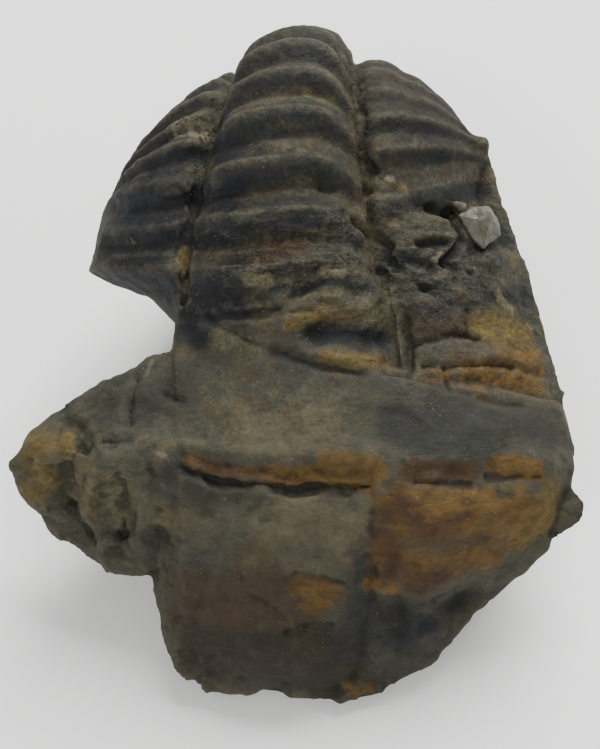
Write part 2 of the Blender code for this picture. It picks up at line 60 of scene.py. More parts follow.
# Widths either side of the middle line, as (arc length, half width).
AXIS_HALF = [(0, 9.6), (8, 8.8), (13, 7.6), (21, 6.5), (34, 5.3), (56, 3.6), (69, 1.6)]
AXIS_SHIFT = [(0, 1.4), (8, 1.2), (16, 0), (26, 0), (36, -0.6)]
LEFT_HALF = [
    (0, 9.6), (7, 9.4), (10.2, 10.2), (13.9, 16.5), (15.3, 18.6), (21, 18), (28, 17), (40, 15.5), (56, 13),
    (62, 11), (69, 5)]
RIGHT_HALF = [
    (0, 23.4), (4, 23.2), (8, 21.4), (10, 20.5), (12, 20), (15, 18.2), (17, 17), (19, 16.4), (22, 17.1),
    (28, 17), (40, 15.5), (56, 13), (62, 11), (69, 5)]
AXIS_DROP = [(0, 3.4), (12, 3.8), (21, 4.2), (34, 3.4), (56, 2.3), (69, 1)]   # crest to furrow
VAULT_SQUARE, VAULT_ROUND = 2.3, 0.62   # how boxy and how round the axis is across
SHOULDER_RISE, SHOULDER_SPAN = 0.63, 0.45   # the sides rise a little beside the furrow
FURROW_WIDTH = 0.8
SKIN_INSET = 0.6                     # ring troughs lie this far under the arch line
# How deep the furrows beside the axis are cut, and below 0 filled, on either side.
LEFT_FURROW = [(14, -0.6), (20, -0.1), (25, 0.6), (29, 0.7), (36, 0.1), (44, 0.1), (52, 0.5)]
RIGHT_FURROW = [(0, -0.2), (12, -0.1), (18, 0.1), (29, 0.3), (36, 0.1), (44, -0.5), (54, -0.3)]
PLEURA_DROP = [(0, 6), (12, 7.4), (21, 8), (30, 7.6), (60, 6), (69, 4)]
PLEURA_BULGE = 2.5                   # how late the sides turn down
SIDE_SAG = [(24, 0), (33, 0.7), (46, 1), (60, 0.3), (69, 0)]   # the sides are pressed in at the back
SAG_START, RIGHT_SAG = 0.25, 0.1     # it starts this share of the way out; the right is hardly pressed
# How far the rings and ribs lean towards the head at the furrows, and back at the tips.
LEFT_BEND = [(12, -1.2), (15.6, -0.95), (19.9, 0.4), (24, -0.3), (30, 0.6), (69, 0.9)]
RIGHT_BEND, TIP_BEND, TIP_POWER = 2.2, 2.4, 1.6
RIB_LEAD = 1.2                       # the right ribs lie this far ahead of the rings
LEFT_ARCH, RIGHT_ARCH = 2.0, 4.0     # how suddenly the rings lean at either furrow

# One ring and one rib, crest to crest, as (fraction of the spacing, height 0 to 1).
RING_PROFILE = [
    (0, 1), (0.06, 0.93), (0.13, 0.45), (0.22, 0.46), (0.34, 0.34), (0.47, 0.04), (0.55, 0.08), (0.7, 0.5),
    (0.85, 0.9), (1, 1)]
RIB_PROFILE = [
    (0, 1), (0.1, 0.72), (0.2, 0.42), (0.28, 0.5), (0.42, 0.22), (0.54, 0), (0.68, 0.3), (0.85, 0.88),
    (1, 1)]
RING_HEIGHT, RIB_HEIGHT, RIGHT_RIB_HEIGHT = 1.35, 1.05, 0.75
RIGHT_RIB_SHARE = [(26, 1), (32, 0.4), (44, 0.4), (52, 1)]   # the right ribs are worn off at the back
RING_WEAR = [(0, 0.15), (7, 0.3), (10, 0.7), (14, 1), (58, 1), (66, 0.15)]
RIB_WEAR = [(0, 0.7), (10, 0.9), (14, 1), (58, 1), (66, 0.15)]
# How dark the painted shade is from one crest to the next: darkest on the slope that faces the head, turned
# from the light.
SLOPE_SHADE_PROFILE = [
    (0, 0.1), (0.06, 0.05), (0.16, 0.25), (0.35, 0.2), (0.52, 0.55), (0.66, 0.95), (0.86, 1), (0.95, 0.5),
    (1, 0.1)]
SLOPE_SHADE_SPREAD = [(4, 0.2), (12, 1), (24, 1), (36, 0.65)]   # how much painted shade there is along the arch
FURROW_DUST = 1.1                    # half width of the sandy strip along each furrow
# Shares of the way out: where a ring or rib begins and ends to change, and its height there.
RING_ENDS, RIB_ROOTS, RIB_TIPS = (0.75, 0.85, 1, 0.6), (0.024, 0.12, 0.2, 1), (0.85, 1.05, 1, 0)
TINY = 1e-6                          # keeps a divisor above 0

# How the animal lies in the stone.
ROLL, YAW, SKEW = math.radians(6.5), math.radians(8.0), math.tan(math.radians(11.0))
PIVOT_Y, PIVOT_Z, AXIS_X = 7.0, 24.0, -2.0   # where it is turned, and how far to the side it lies
CORE_DEPTH, CORE_SHARE = 13.0, 0.8   # how deep the arch is closed, and how near the rims come to it
BASE_MIDDLE = (-0.35, 3.9, 0.0)      # the middle of the base, where the frame starts

# Lumps of matrix, each the convex hull of its corner points.
HEAD_BLOCK = [
    (-10.5, 0.5, 20), (0, -2.3, 21.2), (8.5, -4.7, 20), (21.6, -4.2, 16), (22.8, -3, 13),
    (-9.7, -11, 17.6), (0, -12.2, 18.2), (12, -11, 18.2), (20.2, -10, 16), (23.3, -9.2, 13.3),
    (22, -12.8, 9.5), (20.6, -14.8, 9.2), (-8, -24, 1.5), (2.5, -24.8, 1.3), (6.8, -24.4, 1.2),
    (10.5, -22.2, 2), (15.2, -18.2, 4.5), (-10.6, -22.6, 3), (-12.2, -18.2, 5), (-13.2, -14.6, 6.5),
    (-9.5, -18.8, 11), (3, -20.2, 11), (12, -17.2, 12), (-8, -18, 0), (8, -19, 0), (13, -5, 0),
    (-9, -5, 0), (-10, 2, 8), (14, 2, 2)]
LEFT_WING = [
    (-24.7, -8.4, 13), (-24, -8.2, 11.5), (-22.5, -7.6, 15), (-21.2, -5.9, 15.8), (-20.1, -4.5, 16.2),
    (-18, -3.3, 16.8), (-14.9, -2.3, 17.6), (-10.7, -1.1, 19.2), (-22, -8.5, 15.2), (-16, -10, 16.6),
    (-10, -11, 17.5), (-23.2, -10.4, 9.5), (-20.6, -12.9, 8.2), (-17.5, -14.6, 6.6), (-13.2, -16, 6.5),
    (-15, -5, 6), (-9, -8, 2), (-9, -1, 6), (-20.5, -7.5, 9), (-10.8, -15.2, 10.8), (-10.2, -14, 13.4),
    (-12.4, -16, 8)]
INNER_CORE = [
    (-8, -8, 12), (8, -8, 12), (-9, 6, 17), (12, 6, 17), (-7, 20, 20), (8, 22, 20), (0, 27, 14),
    (8, 28, 8), (-4, 26, 8), (-9, -14, -1), (9, -15, -1), (14, 0, -1), (13, 18, -1), (6, 25, -1),
    (-5, 24, -1), (-9.5, 10, -1), (-9.5, 0, 4)]
RIGHT_FLANK = [
    (10, -6, 15), (20.8, -4, 14), (20.9, 3, 15), (18, 9, 15.5), (16.5, 15, 15), (13, 22, 14), (8, 24, 12),
    (21, -4, 9), (19, 5, 8), (14.5, 16, 6), (12, -2, 1), (12, 14, 1), (5, 10, 5)]
LEFT_FLANK = [
    (-14.5, 12.5, 15), (-13, 18, 15), (-9, 23, 14), (-6, 26, 10), (-9.5, 5.5, 15), (-11.5, 13, 9),
    (-9, 20, 6), (-8, 6, 4), (-2, 12, 8)]
RIGHT_KNOB = [
    (22, -12, 11.8), (24, -11.7, 12.1), (23.7, -12.9, 10.9), (21.4, -14, 9.8), (22.6, -10.2, 12.6),
    (20.5, -11, 10), (23.7, -10.9, 10.4), (23, -12.2, 9.3), (22.4, -9.6, 10.4)]
SPLINTER = [
    (12.7, 11.5, 23.9), (13.2, 11.7, 23.7), (14.6, 11.6, 23.3), (14.3, 10.6, 23.3), (13.4, 10.4, 23.2),
    (13.2, 11.2, 22), (14.2, 10.8, 22)]
LUMPS = [HEAD_BLOCK, LEFT_WING, INNER_CORE, RIGHT_FLANK, LEFT_FLANK, RIGHT_KNOB, SPLINTER]

# Corners of the calcite chip.
CHIP = [
    (14.3, 11.4, 23), (16.5, 12.3, 21.9), (17.3, 11.5, 21.4), (17.5, 10.1, 20.8), (15.8, 8.1, 21.3),
    (14.8, 8.8, 21.9), (13.6, 10.3, 23.1), (15.2, 11.1, 23.4), (16.5, 10.9, 22.7), (16.2, 9.5, 22.4),
    (15.2, 9.8, 23.1), (15.5, 11.5, 19.5), (16.5, 11, 18.8), (15, 9.5, 20)]

# The matrix inside the curl: how far along the arch it starts on either side and ends, how many
# places on each rim it reaches, and its feet.
FILL_LEFT, FILL_RIGHT, FILL_END, FILL_STOPS, NEAR_RIM = 20.0, 0.5, 67.0, 14, 1e-4
FILL_FEET = [(-8.5, 11, -1), (-6, 25, -1), (6, 26, -1), (14, 16, -1), (13.5, 2, -1)]

# Cracks, crevices, pits, ridges and swellings: width, height (below 0 is cut in), points along it.
STROKES = {
    "ledge_band": (0.85, -0.4, [(-8.8, -11.1, 18), (-5.6, -11.8, 17.7), (-2.4, -12.3, 17.6),
        (0.8, -12.5, 17.6), (5.4, -12.2, 17.7)]),
    "ledge_crack": (0.33, -0.75, [(-9.8, -11.6, 17.3), (-7.2, -12.1, 16.7), (-4, -12.5, 16.5),
        (0, -12.8, 16.6), (2.8, -12.8, 16.6), (5.6, -12.8, 16.7)]),
    "ledge_lip": (0.8, 0.3, [(-9.2, -9.9, 18.4), (-4.6, -10.9, 18.8), (0, -11.5, 19.1), (5.2, -11.2, 19)]),
    "second_band": (0.6, -0.15, [(9.5, -12.1, 17.9), (11.2, -11.9, 18), (13.2, -11.8, 17.1)]),
    "second_crack": (0.26, -0.35, [(9.2, -12.6, 17.2), (11.2, -12.8, 17), (13.6, -12.3, 16.2)]),
    "third_band": (0.6, -0.1, [(15.7, -11.2, 17), (17.4, -10.9, 17.1), (19.2, -11.2, 16.5)]),
    "third_crack": (0.26, -0.3, [(15.2, -11.7, 16.4), (17.4, -11.7, 16.2), (19.8, -11.7, 15.8)]),
    "front_furrow": (0.55, -0.25, [(5.6, -13.2, 16), (5.8, -15.5, 14.2), (5.6, -18.3, 9.2),
        (5.1, -21.2, 5.8), (4.2, -23.9, 1.9)]),
    "wing_ridge": (0.9, 0.8, [(-12.5, -9.3, 18), (-15, -10.4, 16.8), (-16.4, -10.4, 15),
        (-17.4, -11.3, 13.4), (-17.6, -12.1, 11.6), (-17, -13.1, 10), (-16.3, -14, 8.5)]),
    "wing_gully": (0.9, -0.8, [(-18.2, -8.9, 16.1), (-19.9, -10, 14), (-19.8, -11.2, 11.8),
        (-19, -12.1, 10.3), (-18, -13, 9.4)]),
    "wing_hole": (0.7, -0.9, [(-19.4, -11.8, 10.9)]),
    "wing_cleft": (0.65, -0.8, [(-14.2, -10.9, 14.6), (-14.4, -11.7, 12.6), (-14.4, -13.2, 10.4),
        (-15, -14.3, 8.6)]),
    "wing_hollow": (1.1, -0.6, [(-11.7, -14, 10.9)]),
    "wing_rib": (1, 0.5, [(-13, -11.4, 15.2), (-12.9, -12.5, 13.2), (-13.1, -13.9, 10.6)]),
    "wing_crack": (0.42, -0.75, [(-13.6, -3.6, 18.3), (-13.9, -5.2, 17.8), (-14.1, -7.2, 17.7)]),
    "cap_nick": (0.4, -0.35, [(-11.2, -5.1, 18.9), (-9.8, -5.9, 18.8)]),
    "wing_line": (0.35, -0.35, [(-16.2, -8.8, 17.2), (-13.9, -9, 17.8)]),
    "furrow_pit_back": (0.42, -0.45, [(5, 17.3, 28.1), (5.7, 17, 28)]),
    "furrow_pit_middle": (0.42, -0.5, [(5, 14.3, 26.7), (5.8, 14.1, 26.1), (6.3, 12.8, 26.5)]),
    "furrow_pit_front": (0.4, -0.4, [(5.4, 11, 24.7), (6.8, 10.1, 26), (8.2, 10.5, 26.3)]),
    "ring_slit": (0.3, -0.4, [(1.7, 8.9, 27.8), (2.7, 9.2, 27.5)]),
    "slab": (1.5, 0.55, [(6.3, 8.7, 25), (8.4, 8.6, 25.5), (10.8, 8.7, 24.7)]),
    "slab_foot": (0.36, -0.7, [(4, 7.4, 25), (5.7, 7.3, 24.1), (7.2, 6.5, 24), (10.4, 6.6, 23.6),
        (12.8, 7.5, 22.9)]),
    "slab_foot_branch": (0.32, -0.4, [(7.2, 6.5, 24), (7.5, 6.1, 22.6), (8.6, 5.2, 22.2)]),
    "chip_hole": (0.5, -0.75, [(11.2, 10.3, 23.8), (12.1, 10.4, 23.2), (13, 10.9, 22.7)]),
    "chip_crack": (0.34, -0.65, [(12.9, 11.2, 22.6), (13.5, 9.6, 22.6), (13.7, 8.8, 21.7),
        (13.2, 7.6, 21.8), (12.4, 5.9, 22.4)]),
    "chip_crack_right": (0.3, -0.45, [(13.8, 8.9, 21.8), (15, 7.9, 21.5)]),
    "chip_crack_low": (0.3, -0.4, [(12.6, 5.9, 22.4), (14.9, 5.5, 21.6)]),
    "fold_crack": (0.3, -0.35, [(9.6, 3.7, 22.2), (11.4, 2.8, 21.4), (12.6, 2.6, 20.5),
        (13.9, 2.4, 19.9)]),
    "body_step": (0.42, -0.5, [(-6.2, 0.6, 21.6), (-3.4, -0.1, 22.7), (-1.6, 0.2, 23.4),
        (-0.6, 1.2, 23.9), (2.4, 2.6, 24), (7, 5.1, 21.1)]),
    "ledge_top": (0.9, 0.4, [(-1.2, 0.9, 22.9), (0, 0.6, 23.9), (2.4, 1.1, 23.9), (6.2, 1.6, 22.3)]),
    "ledge_hollow": (1.1, -0.9, [(1.2, -0.9, 21.6), (4.2, -0.6, 20.9), (6.6, -0.5, 19.8)]),
    "ledge_strip": (0.6, 0.45, [(0.8, -3, 21.4), (2.4, -3.1, 21.3), (4.1, -3.2, 20.9), (6.2, -2.7, 19.8)]),
    "column": (0.5, 0.5, [(7.7, 3.4, 21.5), (8.2, 2.3, 20.5), (8.3, 1.2, 19.2), (8.5, -0.4, 18.2),
        (8.7, -1.6, 17.9)]),
    "column_crack": (0.32, -0.55, [(9.2, 1.4, 19.8), (9.2, -0.4, 18.9), (9.2, -2.2, 18.6),
        (9, -3.9, 18.9)]),
    "block": (1.3, 0.3, [(10.6, 0.8, 20.2), (12.6, 1, 19.8)]),
    "block_foot": (0.32, -0.5, [(9.4, -0.7, 19.2), (10.9, -0.7, 19.8), (13.7, 0.3, 19.3),
        (15.2, 0.3, 18.8)]),
    "block_end": (0.3, -0.4, [(13.9, 2.2, 19.9), (14, 0.4, 19.2)]),
    "low_block": (0.8, 0.3, [(10.8, -2, 19.3), (14, -1.2, 18.8), (17, -0.4, 17.6)]),
    "low_block_foot": (0.3, -0.45, [(10.2, -3, 19.1), (13.5, -2.4, 18.8), (15.8, -1.7, 18.2),
        (18, -1.6, 17)]),
    "side_nick": (0.5, -0.25, [(18.2, -1.5, 17.1), (19.5, -1.4, 16.4), (20.8, -0.9, 15.7)]),
    "brick_crack": (0.28, -0.5, [(12, -3, 19), (12.2, -4.4, 18.9)]),
    "cap_edge": (0.4, -0.35, [(-7.5, 0.5, 21), (-4.9, -1.2, 21.4), (0, -3.5, 20.8), (3.7, -3.9, 19.9),
        (8.2, -4.1, 19.6), (11.5, -4.5, 19.1), (15.7, -5.2, 17.8), (18.4, -5.2, 16.9)]),
    "front_spot_high": (0.4, -0.3, [(-0.5, -18.5, 12.5), (1.5, -18.5, 12.5), (3.5, -19, 12)]),
    "front_spot_low": (0.35, -0.25, [(-1, -21.5, 8), (1, -21, 8.5), (2.5, -21.5, 8.5)]),
    "front_swelling": (3.2, 0.8, [(-5, -15.5, 14.5), (1, -15.5, 14.5)]),
    "front_hollow": (2.4, -0.6, [(-8, -19, 11), (0, -20, 11)]),
    "right_swelling": (3, 1, [(9.5, -15, 15), (13, -14, 14.5), (18, -13, 13.5)]),
    "right_hollow": (1.8, -0.7, [(6.5, -20, 9.5), (10.5, -19.5, 8.5), (14, -18.5, 7.5)]),
    "low_swelling": (2.6, 0.7, [(-4, -22, 6), (0, -22.5, 5.5)]),
    "left_hole": (0.6, -0.5, [(-8.8, 11.2, 23.6), (-8.1, 10.6, 25.3)]),
    "left_crack": (0.3, -0.45, [(-9.5, 5.4, 21), (-9.3, 4.6, 20.7), (-9.3, 2.9, 20)]),
    "rib_tip": (0.9, 0.8, [(16, 18.5, 23)]),
    "left_tip": (0.9, 0.5, [(-17.9, 10.8, 18.4)]),
}

# Colour zones: (reach, strength, points along it) for each stain, and for the painted shade and painted
# shadow. All fade out over a wider reach.
ZONE_SPREAD = 1.5
STAINS_AND_SHADE = {
    # Darker places: partly a darker tone of the stone, partly painted shade on faces turned from the light
    # and in cracks and hollows.
    "dark_and_shaded": [
        (1.8, 0.9, [(-6, 11.5, 29), (-1.6, 10, 30.5), (3.2, 9.6, 29.4)]),
        (1.6, 0.9, [(-6.2, 7.2, 27.4), (-2.3, 6.4, 28.2), (2.8, 6.6, 27.6)]),
        (1.6, 0.8, [(-6.4, 14.8, 29.4), (-2, 13.9, 31.5), (2.6, 13.8, 31.2)]),
        (2.2, 0.8, [(6.4, 17, 28.2), (9, 16.8, 27.8), (12.5, 16.5, 26.4)]),
        (1.8, 0.9, [(9.2, 2.2, 21.7), (11.8, 2.9, 20.8)]),
        (2.2, 0.9, [(-15.7, -5.2, 17.8), (-12.3, -5.4, 18.4), (-10.5, -4.9, 18.8)]),
        (2, 0.9, [(-9.6, -11.4, 17.3), (-7.2, -12.3, 16.3), (-4, -12.9, 15.8)]),
        (2.4, 0.9, [(8.2, 4.5, 22.8), (11.7, 4.6, 22.4), (15.3, 5.4, 21)]),
        (1.5, 0.85, [(-5.7, 3.5, 25), (-1.2, 3, 25.7), (2.9, 3.3, 25.3)]),
        (2, 0.7, [(-2.6, 20.8, 31.7), (0, 21, 32), (3, 20.4, 31.4)]),
        (1.6, 0.9, [(-12.9, 13.5, 24.7), (-10.1, 11.6, 26.2)]),
        (1.2, 0.8, [(-6.8, 19.9, 27.3), (-7.4, 17.6, 27.2), (-7.9, 14.9, 26.3), (-8.3, 12.5, 25.2)]),
        (1.5, 0.8, [(-11.9, 11.4, 25.4), (-9.8, 12.4, 26.2)]),
        (1.6, 1.1, [(-18.2, 12.7, 17.3), (-17.3, 9.6, 18.6), (-15.8, 8.4, 19.6)]),
        (1.3, 0.6, [(-14.8, -5.5, 17.9), (-12.3, -6.5, 18.3), (-10.2, -5.9, 18.8)]),
        (1.8, 1.1, [(6, -16.8, 14.2), (5.4, -18.4, 11.6), (4.9, -19.2, 9.3), (4.1, -22.2, 6.2)]),
        (1.8, 0.8, [(8.6, -20, 9), (8, -21.5, 6.5)]),
        (3.8, 1.1, [(-14, 13, 22), (-13, 10.5, 21.5), (-12, 8.3, 22)]),
        (1.6, 0.7, [(-4.9, 5.6, 26.3), (0, 5.2, 26), (4.1, 6, 25.3)]),
        (1.6, 0.8, [(8, 5.8, 22.6), (12, 6.4, 22.2), (14.5, 7, 21.4), (17, 8.5, 19.6)]),
        (1.2, 0.6, [(9.8, 7, 24.2), (12.6, 7.8, 23)]),
        (1.5, 0.9, [(1.2, -0.9, 21.6), (4.2, -0.6, 20.9), (6.6, -0.5, 19.8)]),
        (1, 0.8, [(-19.2, -12, 10.9)]), (1, 0.8, [(-14.4, -11.7, 12.6), (-14.4, -13.2, 10.4)]),
        (1.4, 0.6, [(-11.7, -13.9, 10.9)])],
    # Painted bluish shadow under the left ends of the rings, in clefts and near the base.
    "painted_blue_shadow": [
        (2.2, 1.1, [(-13.9, 6.6, 18.9), (-12, 5, 18.4), (-9.8, 2.9, 19.5), (-7.9, 0.8, 20.8),
            (-6.2, 0.6, 21.6)]), (2.4, 0.9, [(-14.6, 7, 19), (-12.6, 5.8, 18.5)]),
        (0.9, 0.8, [(1.6, -1.3, 22), (3.7, -0.8, 20.8), (6.2, -0.6, 19.8), (7.4, -0.5, 19)]),
        (1.5, 1, [(-8.8, 10.6, 24.5), (-7.5, 9.8, 26.8), (-5.7, 9.4, 28.4)]),
        (1.1, 0.8, [(-9, 7.7, 22.2), (-7, 6, 25.2), (-4.9, 5.6, 26.3)]),
        (1.8, 1, [(-16.1, 10.2, 20.7), (-12.8, 8.3, 22.9), (-10.6, 8.4, 24.1)]),
        (2, 1, [(-15.5, 12.5, 22), (-12.5, 12, 24)]),
        (1.7, 0.95, [(-6.8, 15, 28.6), (-6.2, 11.4, 28.8), (-6.4, 7.6, 27.2)]),
        (1.6, 0.8, [(-14.6, 12.9, 23.2), (-10.4, 11, 25.8)]),
        (1.4, 0.9, [(-12.5, 14.5, 25), (-10, 14.8, 26)]),
        (1.6, 0.7, [(8.3, -21.4, 6.2), (11.6, -20, 6.9), (13.4, -17.9, 6.5)])],
    "ochre": [
        (0.9, 0.8, [(2.4, -3.2, 21.4), (4.1, -3.4, 21.1), (6.2, -2.9, 20)]),
        (0.8, 0.75, [(-0.8, -1, 22.8), (1.2, -0.4, 23.1), (3.7, -0.1, 22.5)]),
        (0.9, 0.8, [(-19.6, -7.8, 16), (-18.9, -8.9, 16.2)]),
        (1.7, 1.1, [(20, -13.6, 12.3), (18.8, -14.2, 12.2), (20.2, -12.4, 13.4)]),
        (0.8, 0.7, [(6.2, -2.9, 20), (7.8, -3.1, 19.4)]),
        (1.5, 0.9, [(15.1, 1.2, 19.4), (17.4, 1.6, 18.5), (19.5, 1.9, 17.5)]),
        (1, 0.6, [(16.5, 3.4, 19), (18.4, 3.6, 18)]),
        (1.4, 0.75, [(-22.9, -8.8, 14.2), (-21.5, -8.2, 15.6)]),
        (1.3, 0.8, [(-22.5, -10.5, 11.6), (-21.7, -10, 13)]),
        (0.9, 0.6, [(-0.5, 16.5, 31.4), (2.1, 16.3, 31.1)]),
        (0.7, 0.6, [(-3.8, 3.2, 25.2), (-2, 3.4, 25.6)]),
        (0.7, 0.75, [(-9.8, 6.8, 22.4), (-9.5, 6, 20.8)]), (1, 0.5, [(6, 10.9, 26), (9.3, 10.9, 26.1)])],
    "umber": [
        (2.6, 1.1, [(-7.4, -22.3, 5.4), (-2.5, -23.3, 5.8), (2.5, -23.2, 5.2), (3.5, -24.3, 3)]),
        (2.8, 1.3, [(5.6, 22.5, 28.4), (8.3, 20.9, 29), (10.9, 20, 28), (13.2, 19.5, 26)]),
        (1.6, 0.8, [(7.4, 12.4, 27.2), (9.4, 11.6, 26.7)])],
    "rust": [
        (1.1, 0.85, [(-2.8, 4.2, 26), (-0.4, 4.4, 26)]),
        (1, 1, [(9.1, -12.3, 18.1), (11.1, -12.3, 17.8), (13.7, -11.5, 17)]),
        (2, 0.75, [(8, -14.2, 15.9), (9.6, -15.6, 15), (11.5, -15.4, 14.8)]),
        (1.3, 0.9, [(7.6, -18.1, 12.6), (9.7, -18.6, 10.9), (11.4, -18, 11.3)]),
        (1, 0.8, [(6.8, -14.7, 16.1), (7.2, -16.6, 14.7)]),
        (0.8, 0.7, [(11.4, -16, 14.2), (14.6, -15.6, 13.2)]),
        (0.6, 0.7, [(12.6, -1.8, 19.4), (14.6, -1.6, 18.8)]),
        (0.6, 0.9, [(-7.5, -11.5, 17.6), (-4.5, -12, 17.5)]),
        (0.5, 0.7, [(-4.5, -12, 17.5), (-2.4, -12.3, 17.5), (1.5, -12.7, 17.6)]),
        (1.2, 0.9, [(7.2, -17.1, 14), (6.6, -16, 14.8)]),
        (1.7, 0.5, [(0.2, -18.7, 11.6), (2.4, -19.2, 11)])],
    "orange": [
        (1, 1, [(17.2, -0.8, 18.4), (19.1, -0.3, 17.1), (20.6, -0.1, 16)]),
        (0.5, 0.6, [(14.5, -5, 17.7), (15.7, -5.1, 17.4)]),
        (0.9, 0.8, [(7.3, -18.9, 10.6), (5.7, -18.5, 11.5)]),
        (0.8, 0.7, [(-8.8, -11.1, 18), (-5.6, -11.9, 17.7), (-2.4, -12.4, 17.6)]),
        (0.8, 1, [(-2.4, -12.4, 17.6), (0.8, -12.6, 17.7), (2.4, -12.5, 17.8)]),
        (1.3, 1.2, [(2.6, -12.2, 17.9), (5.4, -12, 17.8)]),
        (0.8, 0.7, [(9.6, -12.1, 17.8), (11.2, -11.9, 17.9), (13.2, -11.8, 17)]),
        (0.8, 1.2, [(15.8, -11.2, 16.9), (17.4, -11, 17), (19.1, -11.3, 16.4)]),
        (2.5, 0.9, [(8.5, -14.8, 15.6), (11, -14.5, 15.6), (15.5, -14.3, 14.2), (18, -13.8, 13.6)]),
        (2.2, 0.75, [(7.5, -17.3, 13.2), (10.5, -17.5, 12.4), (15, -16.2, 11.2)]),
        (0.9, 0.8, [(7.3, -18.8, 11.3), (8.6, -18.2, 12)]),
        (1.1, 0.8, [(0.2, -18.7, 11.6), (2.4, -19.2, 11), (1.2, -19.9, 10)]),
        (1.4, 0.9, [(14.2, -2.7, 18.2), (16.8, -2.2, 17.5), (19.9, -1.9, 16.2)]),
        (0.9, 0.7, [(10.7, -3.8, 18.9), (12.5, -3.4, 18.7)]),
        (0.7, 0.5, [(-3.5, 2.3, 24.6), (-2, 2.2, 24.8)]), (1, 0.7, [(4, -24, 2), (5.5, -24, 2)])],
    "brown": [
        (2.2, 0.8, [(-3.4, -17.6, 13.4), (-5.4, -19.2, 10.2)]),
        (1.8, 0.7, [(0.6, -12.4, 18.4), (2, -14.2, 16.8), (0.4, -16, 15.6)]),
        (3.2, 1, [(-9, -19, 9.5), (-5, -20.2, 8.8), (-6, -22, 7.2)]),
        (3, 1, [(-1.5, -19.5, 10.5), (0, -22.5, 7)]),
        (1.6, 0.7, [(-22.4, -9.2, 13.8), (-22, -10.4, 12.4)]),
        (1.6, 0.8, [(9.5, 1, 20.4), (11.5, 1, 20), (13.4, 1.3, 19.7)]),
        (1.3, 0.7, [(6.8, -16.5, 14.4), (6.6, -18.2, 12)]),
        (1.5, 0.7, [(8, 19.5, 28), (11, 19, 26.5), (14, 18.5, 24.5)]),
        (1.4, 0.6, [(10, 4.2, 22.5), (14, 4.4, 21)]),
        (1.4, 0.8, [(-22.3, -8.7, 14.6), (-20.5, -8.3, 15.8)]),
        (1.2, 0.7, [(-1, 2.8, 25.2), (3.2, 3.2, 25)]),
        (1.6, 0.6, [(-15.6, -14.2, 8.4), (-13.5, -15.4, 8)])],
    "tan": [
        (0.7, 0.9, [(-10.3, 5.6, 22.1), (-9.9, 5.2, 21.3), (-9.7, 4.3, 20.3)]),
        (1, 0.9, [(-0.8, -1, 22.8), (1.2, -0.4, 23.1), (3.7, -0.1, 22.5), (6.2, 0.5, 21.4),
            (7.3, 1.2, 21)]), (0.8, 0.6, [(-2.3, 16.8, 31.7), (1, 16.7, 31.6)]),
        (0.8, 0.6, [(-2.6, 12.9, 31.1), (1.2, 13.1, 30.7)]),
        (0.8, 0.65, [(-1.2, 9, 28.7), (2.1, 9.5, 28.1)]), (1, 0.7, [(-2.9, 5.2, 26.1), (2.9, 5.8, 25.6)]),
        (0.8, 0.7, [(-4.5, 2.1, 24.6), (2, 2.6, 24.9)]), (0.8, 0.65, [(9.3, 6.7, 24.7), (13.2, 8, 23.1)]),
        (0.7, 0.6, [(11.7, 4.4, 22.6), (15.3, 5.8, 21.5)]),
        (2.4, 1.25, [(-20.6, -9.6, 14.9), (-18.7, -10.4, 13.6), (-16.5, -11.7, 13.4),
            (-14.8, -11.4, 13.2)]),
        (1.6, 0.9, [(-14.3, -11.3, 13.2), (-11.7, -13, 13.1), (-10.1, -14.2, 13.7)]),
        (1.3, 0.8, [(-6.6, -1.5, 21.1), (-3.3, -2, 21.1)]),
        (1, 0.55, [(-2, -12.9, 17.3), (3.6, -13.2, 17.6)]),
        (2.4, 0.9, [(-0.8, -15.6, 16.1), (2.8, -16, 15.4), (6, -14.7, 15.3)]),
        (1.8, 0.8, [(-2.4, -17.2, 14.6), (0.5, -17.8, 12.8), (2.8, -17.4, 13.8)]),
        (1.5, 0.65, [(-4, -17.8, 13.6), (-0.8, -17.7, 13.5)]),
        (2.4, 0.8, [(-4.8, -8.8, 18.8), (-1.5, -9, 19), (1.6, -7.8, 19.5)]),
        (0.9, 0.8, [(-12.1, -9.3, 18), (-8, -9.9, 18.4)]),
        (0.8, 0.7, [(-1.2, 0.9, 22.9), (0, 0.6, 23.9), (2.4, 1.1, 23.9), (6.2, 1.5, 22.3)]),
        (0.7, 0.8, [(7.7, 3.4, 21.5), (8.2, 2.3, 20.5), (8.3, 1.2, 19.2), (8.5, -0.4, 18.2)]),
        (0.9, 0.7, [(4.2, 23, 29.6), (4.9, 19.7, 28.7), (5.3, 16.4, 27.9)]),
        (0.8, 0.7, [(-2.5, 11.5, 30.4), (0.5, 11.4, 30.4)]),
        (0.8, 0.6, [(-4.6, 16.2, 30.7), (-2.5, 16.4, 31.4)]),
        (1.2, 0.6, [(6.4, 8.9, 25.4), (9.2, 8.6, 25.3), (11.2, 8.2, 24.4)]),
        (1.1, 0.7, [(19.8, 2.8, 17.2), (21, 0.5, 16.4), (21.5, -2.7, 15.2)]),
        (1, 0.6, [(-9, -23.5, 2.5), (-4, -24, 2), (0.5, -24.5, 2)]),
        (1.4, 0.6, [(-2.4, -15.1, 16.2), (-4, -16.1, 15.6)])],
    "slate": [
        (2, 1.1, [(8, -8.6, 19.2), (11.3, -8.9, 18.6), (14.6, -8.1, 18)]),
        (0.8, 0.7, [(-18.8, -4.5, 16.5), (-20.1, -5.2, 15.9)]),
        (0.8, 0.7, [(6.7, 11.7, 27), (9.3, 12.4, 26.8), (10.7, 13.3, 26.2)]),
        (2.2, 0.9, [(11.4, -6.1, 19), (13.9, -6.8, 18.1), (16.4, -7.6, 17.5), (19.6, -7, 16.4)]),
        (1.2, 0.9, [(-4.5, -1.9, 21.2), (-2, -2.7, 21), (0, -3.6, 20.6)]),
